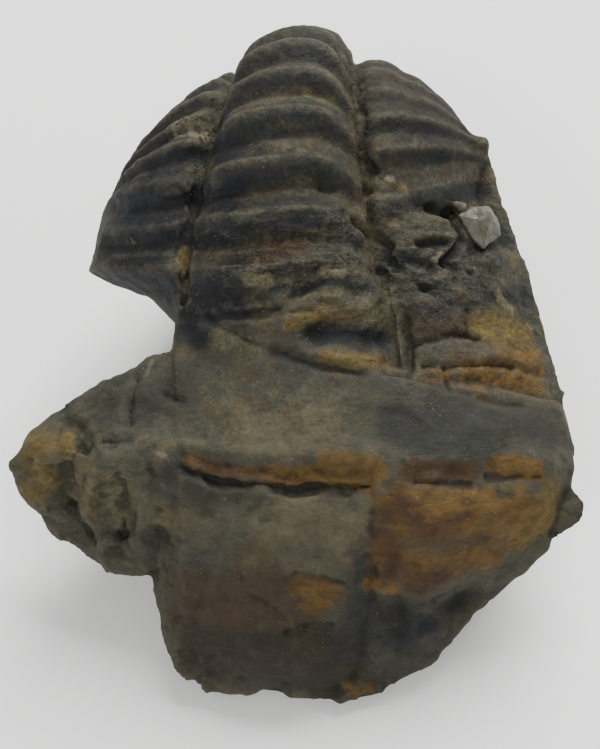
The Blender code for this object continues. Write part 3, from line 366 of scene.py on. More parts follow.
        (1.2, 0.7, [(2.5, -4.6, 20.2), (7, -5.2, 19.6)]), (0.9, 0.6, [(-18.2, -8.9, 16)]),
        (1.5, 0.6, [(-12, -4.5, 18.6), (-12.4, -7, 18.2)]),
        (3.2, 0.8, [(6.5, -21.5, 6.5), (9, -21, 7), (11.5, -21, 5), (8.5, -22.5, 3)])],
    "pale": [
        (0.6, 0.8, [(17, 4.8, 19.4), (17.6, 4.3, 18.8), (18.5, 4, 18.3)]),
        (0.4, 0.8, [(-12.8, -3.4, 18.7), (-12.3, -2.2, 19)]), (0.5, 0.8, [(-14.6, -10.3, 16.4)]),
        (0.5, 0.7, [(-10.7, -10.7, 18), (-11.6, -10.4, 17.9)]),
        (0.9, 1, [(-10.6, 16.9, 26.9), (-9.3, 16.5, 27.1), (-8.2, 16.3, 27)]),
        (0.5, 0.9, [(-14, 9.5, 21)]), (0.5, 0.8, [(-9.3, 12.6, 26), (-8.5, 13, 25.6)]),
        (0.8, 0.9, [(-4.2, 2.2, 24.4), (-2.6, 2, 24.5)]),
        (0.45, 0.7, [(-2.6, 2, 24.5), (-0.8, 1.9, 24.5)]),
        (0.5, 0.9, [(1.8, 2.6, 24.9), (3.4, 2.8, 24.8)]),
        (0.4, 0.9, [(11.6, 5.8, 23.2), (12.4, 6.2, 22.9)]), (0.5, 0.8, [(-22, -9, 14.5)]),
        (0.5, 0.7, [(-15, -10.3, 16.7), (-16.2, -10.3, 15.3)]),
        (0.5, 0.7, [(17.1, 4.2, 19.1), (18.6, 4.3, 18.2)]), (0.35, 0.9, [(7.4, 11.3, 27), (8, 11.3, 27)]),
        (0.5, 0.9, [(12.8, 11.5, 23.8), (14.4, 11.3, 23.3)])],
}

# Lumps left by weathering: size, height on the matrix, height on the animal.
WEATHERING = [(7, 0.5, 0.1), (3, 0.16, 0.12), (1.4, 0.06, 0.09)]
SKIN_REACH, SKIN_FADE = 0.6, 1.2     # the animal's skin ends this far from the back, and fades over this
# How strokes are broken up: (size, shift) of their ragged edges, and their uneven depth.
RAGGED_EDGES, RAGGED_SEED, UNEVEN_DEPTH, UNEVEN_SIZE = [(2.8, 0.35), (0.9, 0.12)], 5, 0.35, 2.2
FINE_VOXEL, RUB_ROUNDS, RUB_STRENGTH, MOST_TRIANGLES = 0.22, 3, 0.5, 190000
CHIP_VOXEL, CHIP_RUBS, CHIP_BUMPS = 0.1, 1, [(1.3, 0.12), (0.5, 0.05)]   # bumps as (size, height)

# Fine relief of the stone. Clouds are (size, octaves, roughness), streaks (stretch, size, octaves,
# roughness), and the spans say where a field begins and ends to count.
RELIEF = {"Grain height": 0.11, "Matrix roughness": 0.38, "Pit depth": 0.06, "Break depth": 0.32,
          "Layer height": 1.7, "Crumb height": 0.4}
MATRIX_SPAN = (0.55, 1.5)            # distance from the animal's back
SKIN_ROUGHNESS, SMOOTHING, GRAIN_SMOOTHING = 0.1, 0.75, 0.5
COARSE_CLOUDS, GRAIN_CLOUDS = (2.2, 3, 0.6), (0.8, 2, 0.7)
WIDE_FACETS, SMALL_FACETS, SMALL_SHARE, FACET_WEAR = 5.5, 2.1, 0.8, 0.35
LAYER_STREAKS, LAYER_STEP = (0.3, 1.5, 3, 0.55), 0.07
PIT_SPACING, PIT_SPAN, PITTED_CLOUDS, PITTED_SPAN = 1.3, (0.12, 0.34, 1, 0), (5.0, 1), (0.5, 0.62)
CRUMB_SPACING, CRUMB_TOP = 0.75, 0.42
BLUR_ROUNDS = {"crest": 7, "bulge": 36}   # crests and hollows are read off against this much blur

# Crumbs and grains.
DRIFT_CLOUDS, DRIFT_SPAN, ZONE_SPAN = (3.5, 3), (0.56, 0.7), (0.35, 0.9)
GRAIN_RADIUS, GRAIN_WIDTH, GRAIN_THICKNESS = 0.5, 0.8, 0.6
CALCITE_GRAINS = {"Zone": "pale", "In the zone": 7.0, "Elsewhere": 0.1, "Smallest": 0.08, "Largest": 0.24,
                  "Seed": 4}
SANDY_CRUMBS = {"Zone": "rubble", "In the zone": 4.0, "Elsewhere": 0.12, "Smallest": 0.1, "Largest": 0.3,
                "Seed": 9}

# Where the stone is broken along its layers: (reach, strength, points along it).
LAYERS = [
    (1.8, 1, [(-4.9, 3.3, 25.3), (-0.8, 3, 25.6), (3.3, 3.2, 25)]),
    (2.2, 1, [(8.3, 4.4, 22.8), (11.7, 4.5, 22.1), (15.3, 5.4, 20.8)]),
    (1.4, 0.8, [(7, 7.8, 24.9), (12, 8.2, 24)]),
    (1.8, 0.4, [(10, 0.5, 20), (14, 0.8, 19.2), (18.5, 1.2, 17.6)]),
    (1.4, 0.35, [(10.7, -3.5, 18.9), (15, -2.4, 18), (19.5, -1.8, 16.4)]),
    (1.6, 0.7, [(0.5, 0.3, 23), (5, 0.2, 21.8)]),
    (1.8, 0.7, [(-7.5, 6, 24), (-3.5, 6, 26), (1, 6, 26.3), (4, 6.5, 25.5)]),
    (1.4, 0.4, [(18.2, 11.5, 19.2), (18.8, 8.6, 19.2), (19.7, 6.5, 17.6), (20.4, 3.7, 16.9)])]
# Where the matrix is worn smooth.
SMOOTH = [
    (4.6, 1, [(-10, -4, 19), (-2, -7, 19.5), (7, -8, 19), (14, -8.5, 18), (19, -7.5, 16.5)]),
    (4.4, 0.9, [(-6, -16, 14), (1, -17, 13)]),
    (4, 1, [(8.5, -15, 15), (12, -14.5, 15), (17.5, -13.5, 14)]),
    (5, 0.85, [(-6, -20, 9), (2, -22, 7), (9, -20, 8)]), (2, 1.2, [(23.2, -12, 11.8)]),
    (1.4, 1, [(-21.2, -6, 15.8), (-20, -4.5, 16.1), (-18.4, -3.5, 16.7)]),
    (1.6, 1, [(21.4, -3.2, 15.6), (22.2, -4.6, 14.6)])]
# Where it is rough with crumbs.
RUBBLE = [
    (1.2, 0.9, [(-10.6, 16.9, 26.9), (-8.4, 16.3, 27)]),
    (0.9, 0.8, [(-9, 14.5, 26), (-9.1, 11.8, 25), (-9.6, 7, 21.4)]),
    (0.8, 0.7, [(3.9, 23.8, 29.8), (4.9, 19.7, 28.7), (5.4, 15, 27.5), (5.8, 12, 26)]),
    (1.2, 0.6, [(-7.5, 2.4, 20), (-4.6, 1.4, 22.4), (-2.4, 1.5, 24)]),
    (1.4, 0.3, [(-22.4, -9.2, 13.8), (-21.8, -10.2, 12.6)]),
    (1.3, 0.4, [(-15, -10.4, 16.6), (-16.6, -10.8, 14.4)])]


# ---------------------------------------------------------------- colours
TONE = 0.30                          # how dark a colour is mixed, for a stone in soft even light


def srgb(red, green, blue):
    """A colour given as it looks, 0 to 255."""
    def linear(level):
        level /= 255.0
        return level / 12.92 if level <= 0.04045 else ((level + 0.055) / 1.055) ** 2.4
    return (linear(red) * TONE, linear(green) * TONE, linear(blue) * TONE, 1.0)


SHELL_BROWN, SHELL_GREY, SHELL_OLIVE = srgb(98, 88, 70), srgb(84, 86, 74), srgb(108, 108, 78)
# The first colour is painted shade for the ring and rib slopes that face the head.
SLOPE_SHADE, SPECK = srgb(46, 50, 51), srgb(180, 174, 146)
SAND, SAND_DARK = srgb(112, 104, 80), srgb(84, 78, 60)
SHELL_GOLD, SHELL_VIOLET = srgb(120, 108, 70), srgb(84, 74, 67)
FURROW_SAND = srgb(122, 110, 78)
ROCK_OLIVE, ROCK_GREY = srgb(103, 99, 79), srgb(90, 91, 77)
ROCK_TAN, ROCK_DARK = srgb(120, 111, 86), srgb(71, 71, 61)
# The first colour lightens crests, part wear and part painted highlight; the second is painted shade for
# hollows.
WORN_AND_LIT_EDGE, HOLLOW_SHADE = srgb(132, 126, 102), srgb(34, 33, 30)
CALCITE_PALE, CALCITE_GREY = srgb(130, 123, 97), srgb(106, 100, 80)
# Stains, painted shade and painted shadow, from the lowest to the top one: begins, is full, and its two
# tints.
STAIN_AND_SHADE_COLOURS = [
    ("slate", 0.45, 0.95, srgb(71, 72, 65), srgb(61, 62, 57)),
    ("brown", 0.4, 0.9, srgb(98, 80, 58), srgb(82, 68, 51)),
    ("umber", 0.3, 0.8, srgb(74, 67, 51), srgb(62, 56, 44)),
    # Darker tone and painted shade.
    ("dark_and_shaded", 0.35, 1.1, srgb(62, 62, 56), srgb(52, 54, 52)),
    # Painted bluish shadow.
    ("painted_blue_shadow", 0.28, 0.85, srgb(40, 43, 50), srgb(32, 34, 42)),
    ("tan", 0.45, 0.95, srgb(132, 124, 92), srgb(116, 108, 82)),
    ("ochre", 0.4, 0.8, srgb(154, 130, 64), srgb(122, 102, 56)),
    ("orange", 0.4, 0.8, srgb(150, 116, 54), srgb(116, 86, 42)),
    ("rust", 0.4, 0.9, srgb(108, 76, 46), srgb(84, 62, 44)),
    ("pale", 0.5, 0.9, srgb(168, 160, 124), srgb(138, 130, 100)),
]
# How far the clouds push the edge of a stain or painted shade, how much it covers, and the streaks that
# part its tints.
STAIN_AND_SHADE_RAGGED, STAIN_AND_SHADE_COVER, STAIN_AND_SHADE_TINT = {"patchy": 0.9, "blotch": 0.8, "streaky": 0.4}, 0.9, (0.38, 0.62)
# Clouds in the stone's colours: size, octaves, roughness and how far off they are read.
CLOUDS = {
    "broad": (8.0, 3, 0.6), "patchy": (3.2, 5, 0.65, (31, 0, 0)), "dusty": (1.9, 5, 0.7, (0, 0, 17)),
    "blotch": (1.1, 4, 0.7, (0, 57, 0)), "speckle": (0.5, 4, 0.75, (5, 9, 0)), "ripple": (0.55, 3, 0.65),
    "sandy": (0.28, 2, 0.8, (0, 0, 83)), "flecks": (0.2, 2, 0.6, (11, 3, 0)), "seldom": (2.2, 2),
}
STREAKS, SHEETS = (0.45, 1.0, 4, 0.65), (0.4, 0.8, 3, 0.65)
# Ragged edge of the painted slope shade, and of the furrow sand.
SLOPE_SHADE_RAGGED, FURROW_RAGGED = 1.1, 1.4
# Coats of colour: what they follow, from where to where, and how much they cover at either end.
SHELL_COATS = [
    ("patchy", 0.42, 0.58, 0, 1, SHELL_GREY), ("blotch", 0.5, 0.64, 0, 0.7, SHELL_OLIVE),
    ("dusty", 0.5, 0.62, 0, 0.6, SHELL_GOLD), ("dusty", 0.38, 0.46, 0.5, 0, SHELL_VIOLET),
    # The first coat on this line is painted shade on the ring and rib slopes.
    ("slope_shade_edge", 0.35, 0.8, 0, 0.85, SLOPE_SHADE), ("sand_edge", 0.6, 0.95, 0, 0.6, FURROW_SAND)]
ROCK_COATS = [
    ("broad", 0.4, 0.6, 0, 1, ROCK_GREY), ("patchy", 0.48, 0.66, 0, 0.7, ROCK_TAN),
    ("streaky", 0.36, 0.5, 0.75, 0, ROCK_DARK)]
# Worn crests are lighter, partly from wear and partly as a painted highlight, and hollows get painted
# shade, less so where the stone is smooth or in the furrow.
SMOOTH_SHARE, WORN_AND_LIT_RAGGED, WORN_AND_LIT_SPAN, WORN_AND_LIT_COVER = 0.8, 0.05, (0.02, 0.09), 0.42
# Painted shade in hollows: how much the broad bulge counts, its span and how much it covers.
BULGE_SHARE, HOLLOW_SPAN, HOLLOW_COVER, FURROW_SPARED = 0.35, (-0.16, -0.03, 1, 0), 0.6, 0.3
# Grit that lightens and darkens, less on the matrix; hues that wander; and pale flecks.
SAND_GRIT, SAND_SPARED = (0.3, 0.7, -0.22, 0.22), 0.55
SPECKLE_GRIT, SPECKLE_SPARED = (0.36, 0.64, -0.32, 0.38), 0.4
HUE_CLOUDS, HUE_STRENGTH, HUE_SPARED = (1 / 2.6, 3, 0.75), 0.75, 0.35
SELDOM_SPAN, FLECK_SPAN, FLECK_COVER = (0.5, 0.62), (0.62, 0.72), 0.45
# The last value makes the stone glossier where the slope shade is painted.
SPECULAR, ROUGH_SPAN, SLOPE_SHADE_GLOSS = 0.22, (0.3, 0.9, 0.9, 0.62), 0.3
# Bumps, in millimetres.
SANDY_BUMP, RIPPLE_BUMP, SPECKLE_BUMP, STREAK_BUMP, BUMP_STRENGTH = 0.05, 0.1, 0.22, 0.06, 0.7
PORE_SPACING, PORE_SPAN = 0.42, (0.05, 0.3, 0.04, 0)
SHEET_SPAN, LAYER_BUMP, MATRIX_BUMP = (0.44, 0.52), 0.14, 0.03
# Calcite and sand.
VEIL_CLOUDS, VEIL_SPAN, VEIL_BUMP = (0.9, 4, 0.7), (0.35, 0.65), 0.2
MILK_CLOUDS, MILK_SPAN, MILK_BUMP = (0.35, 3, 0.7), (0.5, 0.66, 0, 0.7), 0.08
CALCITE_ROUGH, CALCITE_STRENGTH = (0.3, 0.7, 0.35, 0.65), 0.5
SAND_CLOUDS, SAND_SPAN = (0.5, 2, 0.7), (0.35, 0.65)
SAND_ROUGH, SAND_SPECULAR = (0.3, 0.7, 0.75, 0.95), 0.25

# ---------------------------------------------------------------- the setting, in metres
FLOOR_HALF, FLOOR_PALE, FLOOR_ROUGHNESS = 1.0, (0.84, 0.84, 0.83, 1.0), 0.9
VIEW_PLACE, VIEW_TARGET, VIEW_LENS = (0.00035, -0.0727, 0.1123), (0.00035, -0.0039, 0.014), 66.33
SENSOR_WIDTH, NEAREST = 36.0, 0.005
ROOM_LIGHT = 0.55
# Softboxes: place, size and watts.
SOFTBOXES = {"key": ((0.10, 0.28, 0.38), 0.30, 5.0), "front_fill": ((-0.15, -0.42, 0.30), 0.40, 2.2)}


# ---------------------------------------------------------------- node building
class Wire:
    """A node's output that takes part in sums: each operator adds a Math node."""

    def __init__(self, bench, socket):
        self.bench, self.socket = bench, socket

    def __add__(self, other):
        return self.bench.math("ADD", self, other)

    def __radd__(self, other):
        return self.bench.math("ADD", other, self)

    def __sub__(self, other):
        return self.bench.math("SUBTRACT", self, other)

    def __rsub__(self, other):
        return self.bench.math("SUBTRACT", other, self)

    def __mul__(self, other):
        return self.bench.math("MULTIPLY", self, other)

    def __rmul__(self, other):
        return self.bench.math("MULTIPLY", other, self)

    def __truediv__(self, other):
        return self.bench.math("DIVIDE", self, other)

    def __rtruediv__(self, other):
        return self.bench.math("DIVIDE", other, self)

    def __pow__(self, other):
        return self.bench.math("POWER", self, other)

    def __neg__(self):
        return self.bench.math("MULTIPLY", self, -1.0)

    def __gt__(self, other):
        return self.bench.math("GREATER_THAN", self, other)

    def clamp(self):
        """Held between 0 and 1."""
        return self.bench.math("ADD", self, 0.0, use_clamp=True)


class Bench:
    """Builds one node tree, for a shape or for a material."""

    def __init__(self, tree):
        self.tree = tree

    def add(self, kind, settings=None, values=None):
        """A node: its settings first, then its sockets, by name, identifier or number."""
        node = self.tree.nodes.new(kind)
        for name, setting in (settings or {}).items():
            setattr(node, name, setting)
        for key, value in (values or {}).items():
            self.feed(self.find(node.inputs, key), value)
        return node

    def put(self, kind, settings=None, values=None, out=0):
        """A node's output as a wire."""
        return Wire(self, self.find(self.add(kind, settings, values).outputs, out))

    @staticmethod
    def find(sockets, key):
        """A socket by number, identifier or name."""
        if isinstance(key, int):
            return sockets[key]
        for socket in sockets:
            if socket.identifier == key:
                return socket
        return next(socket for socket in sockets if socket.name == key and socket.enabled)

    def feed(self, socket, value):
        """Link a wire to a socket, or set the socket's number."""
        if isinstance(value, Wire):
            self.tree.links.new(value.socket, socket)
        else:
            socket.default_value = value

    def math(self, operation, first, second=0.0, use_clamp=False):
        """One Math node."""
        settings = {"operation": operation, "use_clamp": use_clamp}
        return self.put("ShaderNodeMath", settings, {0: first, 1: second})

    def vector(self, operation, first, second=None, scale=None, out=0):
        """One Vector Math node."""
        values = {0: first}
        if second is not None:
            values[1] = second
        if scale is not None:
            values["Scale"] = scale
        return self.put("ShaderNodeVectorMath", {"operation": operation}, values, out)

    def triple(self, x, y, z):
        """Three numbers as one vector."""
        return self.put("ShaderNodeCombineXYZ", values={0: x, 1: y, 2: z})

    def split(self, vector):
        """One vector as three numbers."""
        node = self.add("ShaderNodeSeparateXYZ", values={0: vector})
        return [Wire(self, socket) for socket in node.outputs]

    def ramp(self, value, low, high, to_low=0.0, to_high=1.0, smooth=False):
        """Map a span of values onto another, held at both ends."""
        settings = {"clamp": True, "interpolation_type": "SMOOTHSTEP" if smooth else "LINEAR"}
        return self.put("ShaderNodeMapRange", settings, {0: value, 1: low, 2: high, 3: to_low, 4: to_high})

    def noise(self, place, size, detail=2.0, roughness=0.5, shift=None, out=0):
        """Clouds of about this size, from 0 to 1."""
        if shift is not None:
            place = self.vector("ADD", place, shift)
        return self.put("ShaderNodeTexNoise", values={
            "Vector": place, "Scale": 1.0 / size, "Detail": detail, "Roughness": roughness}, out=out)

    def streaks(self, place, stretch, size, detail, roughness):
        """Clouds drawn out along X, the more the lower the stretch."""
        return self.noise(self.vector("MULTIPLY", place, (stretch, 1.0, 1.0)), size, detail, roughness)

    def cells(self, place, size):
        """Distance from scattered dots this far apart."""
        return self.put("ShaderNodeTexVoronoi", values={"Vector": place, "Scale": 1.0 / size})

    def facets(self, place, size):
        """Height of tilted flat faces about this wide, as broken stone has, with worn edges between."""
        cell = self.add("ShaderNodeTexVoronoi", {"feature": "SMOOTH_F1"},
                        {"Vector": place, "Scale": 1.0 / size, "Smoothness": FACET_WEAR})
        away = self.vector("SUBTRACT", place, Wire(self, cell.outputs["Position"]))
        tilt = self.vector("SUBTRACT", Wire(self, cell.outputs["Color"]), (0.5, 0.5, 0.5))
        return self.vector("DOT_PRODUCT", away, tilt, out="Value")

    def mix(self, share, first, second):
        """From one colour to another."""
        return self.put("ShaderNodeMix", {"data_type": "RGBA"},
                        {"Factor_Float": share, "A_Color": first, "B_Color": second}, "Result_Color")

    def named(self, name):
        """A number that the geometry carries."""
        return self.put("GeometryNodeInputNamedAttribute", {"data_type": "FLOAT"}, {"Name": name})

    def store(self, geometry, name, value, kind="FLOAT"):
        """The geometry with one more thing that its points carry."""
        return self.put("GeometryNodeStoreNamedAttribute", {"data_type": kind, "domain": "POINT"},
                        {"Geometry": geometry, "Name": name, "Value": value})

    def along(self, knots, at):
        """Read a table of (position, value) pairs, straight between them."""
        total = knots[0][1]
        for (start, low), (end, high) in zip(knots[:-1], knots[1:]):
            if high != low:
                total = total + self.ramp(at, start, end, 0.0, high - low)
        return total


def new_shape_tree(name, inputs):
    """A Geometry Nodes tree with a geometry in and out, and its named inputs."""
    tree = bpy.data.node_groups.new(name, "GeometryNodeTree")
    tree.interface.new_socket("Geometry", in_out="INPUT", socket_type="NodeSocketGeometry")
    for label, kind in inputs:
        tree.interface.new_socket(label, in_out="INPUT", socket_type=kind)
    tree.interface.new_socket("Geometry", in_out="OUTPUT", socket_type="NodeSocketGeometry")
    bench = Bench(tree)
    sockets = bench.add("NodeGroupInput").outputs
    return bench, {socket.name: Wire(bench, socket) for socket in sockets if socket.name}


def end_shape_tree(bench, geometry, material=None):
    """Realise what the tree made, give it its material and hand it out."""
    real = bench.put("GeometryNodeRealizeInstances", values={0: geometry})
    made = bench.put("GeometryNodeSetMaterial", values={0: real, "Material": material})
    bench.add("NodeGroupOutput", values={0: made})


def run_shape_tree(piece, bench, values):
    """Run a tree on a piece with these inputs, and keep the plain mesh that it makes."""
    modifier = piece.modifiers.new(bench.tree.name, "NODES")
    modifier.node_group = bench.tree
    for item in bench.tree.interface.items_tree:
        if item.item_type == "SOCKET" and item.in_out == "INPUT" and item.name in values:
            modifier[item.identifier] = values[item.name]
    keep_result(piece)


def keep_result(piece):
    """Replace a piece's mesh with what its modifiers make, and remove them."""
    bpy.context.view_layer.update()
    depsgraph = bpy.context.evaluated_depsgraph_get()
    mesh = bpy.data.meshes.new_from_object(piece.evaluated_get(depsgraph))
    piece.modifiers.clear()
    piece.data = mesh


def new_piece(name, mesh=None):
    """An object at the origin, in the scene."""
    piece = bpy.data.objects.new(name, mesh or bpy.data.meshes.new(name))
    bpy.context.scene.collection.objects.link(piece)
    return piece


# ---------------------------------------------------------------- the animal's back
def lay(bench, across, y, z):
    """Turn the upright animal to the way it lies in the stone."""
    y = y + across * SKEW
    rise = z - PIVOT_Z
    x_rolled = across * math.cos(ROLL) - rise * math.sin(ROLL)
    z_rolled = across * math.sin(ROLL) + rise * math.cos(ROLL) + PIVOT_Z
    run = y - PIVOT_Y
    x = x_rolled * math.cos(YAW) + run * math.sin(YAW) + AXIS_X
    return bench.triple(x, run * math.cos(YAW) - x_rolled * math.sin(YAW) + PIVOT_Y, z_rolled)


def arch_curve(bench):
    """The crest of the arch as a curve in the YZ plane."""
    count = int(round(ARCH_END / ARCH_STEP)) + 1
    line = bench.put("GeometryNodeMeshLine", {"mode": "OFFSET"}, {"Count": count})
    arc = bench.put("GeometryNodeInputIndex") * ARCH_STEP
    heading = bench.math("RADIANS", bench.along(ARCH_KNOTS, arc))
    step = bench.triple(
        0.0, bench.math("COSINE", heading) * ARCH_STEP, bench.math("SINE", heading) * ARCH_STEP)
    place = bench.put(
        "GeometryNodeAccumulateField", {"data_type": "FLOAT_VECTOR"}, {"Value": step}, "Trailing")
    drawn = bench.put("GeometryNodeSetPosition", values={"Geometry": line, "Position": place})
    at_anchor = bench.put("GeometryNodeSampleIndex", {"data_type": "FLOAT_VECTOR"},
                          {"Geometry": drawn, "Value": bench.put("GeometryNodeInputPosition"),
                           "Index": int(round(ANCHOR[0] / ARCH_STEP))})
    shift = bench.vector("SUBTRACT", (0.0, ANCHOR[1], ANCHOR[2]), at_anchor)
    moved = bench.put("GeometryNodeSetPosition", values={"Geometry": drawn, "Offset": shift})
    return bench.put("GeometryNodeMeshToCurve", values={"Mesh": moved})


def ring_count(bench, arc, pitch, loss):
    """How many rings lie between the anchor and a place on the arch."""
    def logarithm(place):
        return bench.math("LOGARITHM", pitch - loss * place, math.e)
    return (logarithm(ANCHOR[0]) - logarithm(arc)) / loss


def back_tree():
    """The ringed and ribbed back of the animal as a grid that follows the arch."""
    bench, given = new_shape_tree("ringed_back", [
        ("Points along", "NodeSocketInt"), ("Points across", "NodeSocketInt"),
        ("Ring spacing", "NodeSocketFloat"), ("Spacing loss", "NodeSocketFloat"),
        ("Ring height", "NodeSocketFloat"), ("Rib height", "NodeSocketFloat"),
        ("Right rib height", "NodeSocketFloat")])
    grid = bench.put("GeometryNodeMeshGrid", values={
        "Size X": 1.0, "Size Y": 1.0,
        "Vertices X": given["Points along"], "Vertices Y": given["Points across"]})
    flat_x, flat_y, _ = bench.split(bench.put("GeometryNodeInputPosition"))
    u = (flat_x + 0.5) * ARCH_END
    v = flat_y * 2.0
    axis = bench.along(AXIS_HALF, u)
    right = v > 0.0
    half = bench.along(LEFT_HALF, u) * (1 - right) + bench.along(RIGHT_HALF, u) * right
    across = v * half
    off_axis = bench.math("ABSOLUTE", across)
    on_axis = (off_axis / axis).clamp()
    on_side = ((off_axis - axis) / (half - axis + TINY)).clamp()
    side = off_axis > axis
    drop = bench.along(AXIS_DROP, u)
    vault = drop * ((1 - on_axis ** VAULT_SQUARE) ** VAULT_ROUND - 1)
    shoulder = bench.math("SINE", (on_side / SHOULDER_SPAN).clamp() * math.pi) * SHOULDER_RISE
    slope = shoulder - drop - bench.along(PLEURA_DROP, u) * on_side ** PLEURA_BULGE
    rise = slope * side + vault * (1 - side)
    from_furrow = (off_axis - axis) / FURROW_WIDTH
    groove = bench.along(LEFT_FURROW, u) * (1 - right) + bench.along(RIGHT_FURROW, u) * right
    rise = rise - groove * bench.math("EXPONENT", -(from_furrow * from_furrow))
    rise = rise - bench.along(SIDE_SAG, u) * (on_side / SAG_START).clamp() * (1 - right * (1 - RIGHT_SAG))
    edge_bend = bench.along(LEFT_BEND, u) * (1 - right) + right * RIGHT_BEND
    arching = on_axis ** (LEFT_ARCH + right * (RIGHT_ARCH - LEFT_ARCH))
    bend = edge_bend * arching - on_side ** TIP_POWER * TIP_BEND + right * side * RIB_LEAD
    count = ring_count(bench, u + bend, given["Ring spacing"], given["Spacing loss"])
    turn = bench.math("FRACT", count + WHOLE_TURNS)
    ring = bench.along(RING_PROFILE, turn) * given["Ring height"] * bench.ramp(on_axis, *RING_ENDS)
    rib_edge = bench.ramp(on_side, *RIB_ROOTS) * bench.ramp(on_side, *RIB_TIPS)
    worn_right = bench.along(RIGHT_RIB_SHARE, u)
    rib_height = given["Rib height"] * (1 - right) + given["Right rib height"] * worn_right * right
    rib = bench.along(RIB_PROFILE, turn) * rib_height * rib_edge
    rise = rise + rib * bench.along(RIB_WEAR, u) * side + ring * bench.along(RING_WEAR, u) * (1 - side)
    rise = rise - SKIN_INSET - bench.along(DIVE, u)
    place = bench.put("GeometryNodeSampleCurve", {"mode": "FACTOR"},
                      {"Curves": arch_curve(bench), "Factor": u / ARCH_END}, "Position")
    _, path_y, path_z = bench.split(place)
    heading = bench.math("RADIANS", bench.along(ARCH_KNOTS, u))
    sine, cosine = bench.math("SINE", heading), bench.math("COSINE", heading)
    skin = lay(bench, across + bench.along(AXIS_SHIFT, u), path_y - sine * rise, path_z + cosine * rise)
    core = lay(bench, 0.0, path_y + sine * CORE_DEPTH, path_z - cosine * CORE_DEPTH)
    # Painted shade: darkest on the ring and rib slopes that face the head.
    patina = bench.along(SLOPE_SHADE_PROFILE, turn) * bench.along(SLOPE_SHADE_SPREAD, u)
    patina = patina * (1 - right * side * (1 - worn_right))
    furrow = bench.math("EXPONENT", -((off_axis - axis) / FURROW_DUST) ** 2.0)
    for name, field in (("u", u), ("v", v), ("patina", patina), ("furrow", furrow)):
        grid = bench.store(grid, name, field)
    grid = bench.store(grid, "core", core, "FLOAT_VECTOR")
    end_shape_tree(bench, bench.put("GeometryNodeSetPosition", values={"Geometry": grid, "Position": skin}))
    return bench


def make_back():
    """The skin of the back as an open sheet."""
    back = new_piece("ringed_back")
    run_shape_tree(back, back_tree(), {
        "Points along": BACK_POINTS[0], "Points across": BACK_POINTS[1], "Ring spacing": PITCH_FRONT,
        "Spacing loss": PITCH_LOSS, "Ring height": RING_HEIGHT, "Rib height": RIB_HEIGHT,
        "Right rib height": RIGHT_RIB_HEIGHT})
    return back


# ---------------------------------------------------------------- the stone
def read_points(mesh, what="co"):
    """Positions or normals of a mesh's vertices."""
    values = np.empty(len(mesh.vertices) * 3)
    mesh.vertices.foreach_get(what, values)
    return values.reshape(-1, 3)


def read_numbers(mesh, name):
    """A number that each vertex carries."""
    values = np.empty(len(mesh.vertices))
    mesh.attributes[name].data.foreach_get("value", values)
    return values


def write_numbers(mesh, name, values):
    """Give each vertex a number."""
    mesh.attributes.new(name, "FLOAT", "POINT").data.foreach_set("value", values.astype(np.float32))


def push_out(mesh, points, rise):
    """Move each vertex along its normal from where it was read."""
    points = points + read_points(mesh, "normal") * rise[:, None]
    mesh.vertices.foreach_set("co", points.ravel())
    mesh.update()


def span_distance(points, start, end):
    """Distance of each point from the straight span between two places."""
    run = end - start
    share = np.clip((points - start) @ run / max(run @ run, TINY), 0, 1)
    return np.linalg.norm(points - start - share[:, None] * run, axis=1)


def surface_of(mesh):
    """A search tree over a mesh's faces."""
    faces = [tuple(face.vertices) for face in mesh.polygons]
    return BVHTree.FromPolygons([tuple(point) for point in read_points(mesh)], faces)


def route_distance(points, surface, route):
    """Distance of each point from a route whose stops are drawn to the surface."""
    stops = [np.array(surface.find_nearest(Vector(stop))[0]) for stop in route]
    spans = list(zip(stops[:-1], stops[1:])) or [(stops[0], stops[0])]
    return np.min([span_distance(points, start, end) for start, end in spans], axis=0)


def add_hull(bm, corners):
    """The convex hull of some corners, without its inner points."""
    made = bmesh.ops.convex_hull(bm, input=[bm.verts.new(corner) for corner in corners])
    inner = [item for item in made["geom_interior"] if isinstance(item, bmesh.types.BMVert)]
    bmesh.ops.delete(bm, geom=inner, context="VERTS")


def filling(back):
    """Corners of the matrix inside the curl: both rims, and its feet."""
    points, u, v = read_points(back.data), read_numbers(back.data, "u"), read_numbers(back.data, "v")
    corners = list(FILL_FEET)
    for side, start in ((-1.0, FILL_LEFT), (1.0, FILL_RIGHT)):
        edge = np.flatnonzero((np.abs(v - side) < NEAR_RIM) & (u >= start) & (u <= FILL_END))
        edge = edge[np.argsort(u[edge])]
        corners += [tuple(points[i]) for i in edge[np.linspace(0, len(edge) - 1, FILL_STOPS).astype(int)]]
    return corners


def rough_stone(back):
    """The back closed inside the arch, and the lumps of matrix, still overlapping."""
    bm = bmesh.new()
    bm.from_mesh(back.data)
    core = bm.verts.layers.float_vector["core"]
    made = bmesh.ops.extrude_edge_only(bm, edges=[edge for edge in bm.edges if edge.is_boundary])
    for vert in made["geom"]:
        if isinstance(vert, bmesh.types.BMVert):
            vert.co = vert.co.lerp(vert[core], CORE_SHARE)
    bmesh.ops.holes_fill(bm, edges=[edge for edge in bm.edges if edge.is_boundary], sides=0)
    bmesh.ops.triangulate(bm, faces=[face for face in bm.faces if len(face.verts) > 4])
    bmesh.ops.recalc_face_normals(bm, faces=bm.faces)
    for corners in [filling(back)] + LUMPS:
        add_hull(bm, corners)
    mesh = bpy.data.meshes.new("fossil_stone")
    bm.to_mesh(mesh)
    bm.free()
    while mesh.attributes.get("core"):
        mesh.attributes.remove(mesh.attributes["core"])
    return new_piece("fossil_stone", mesh)


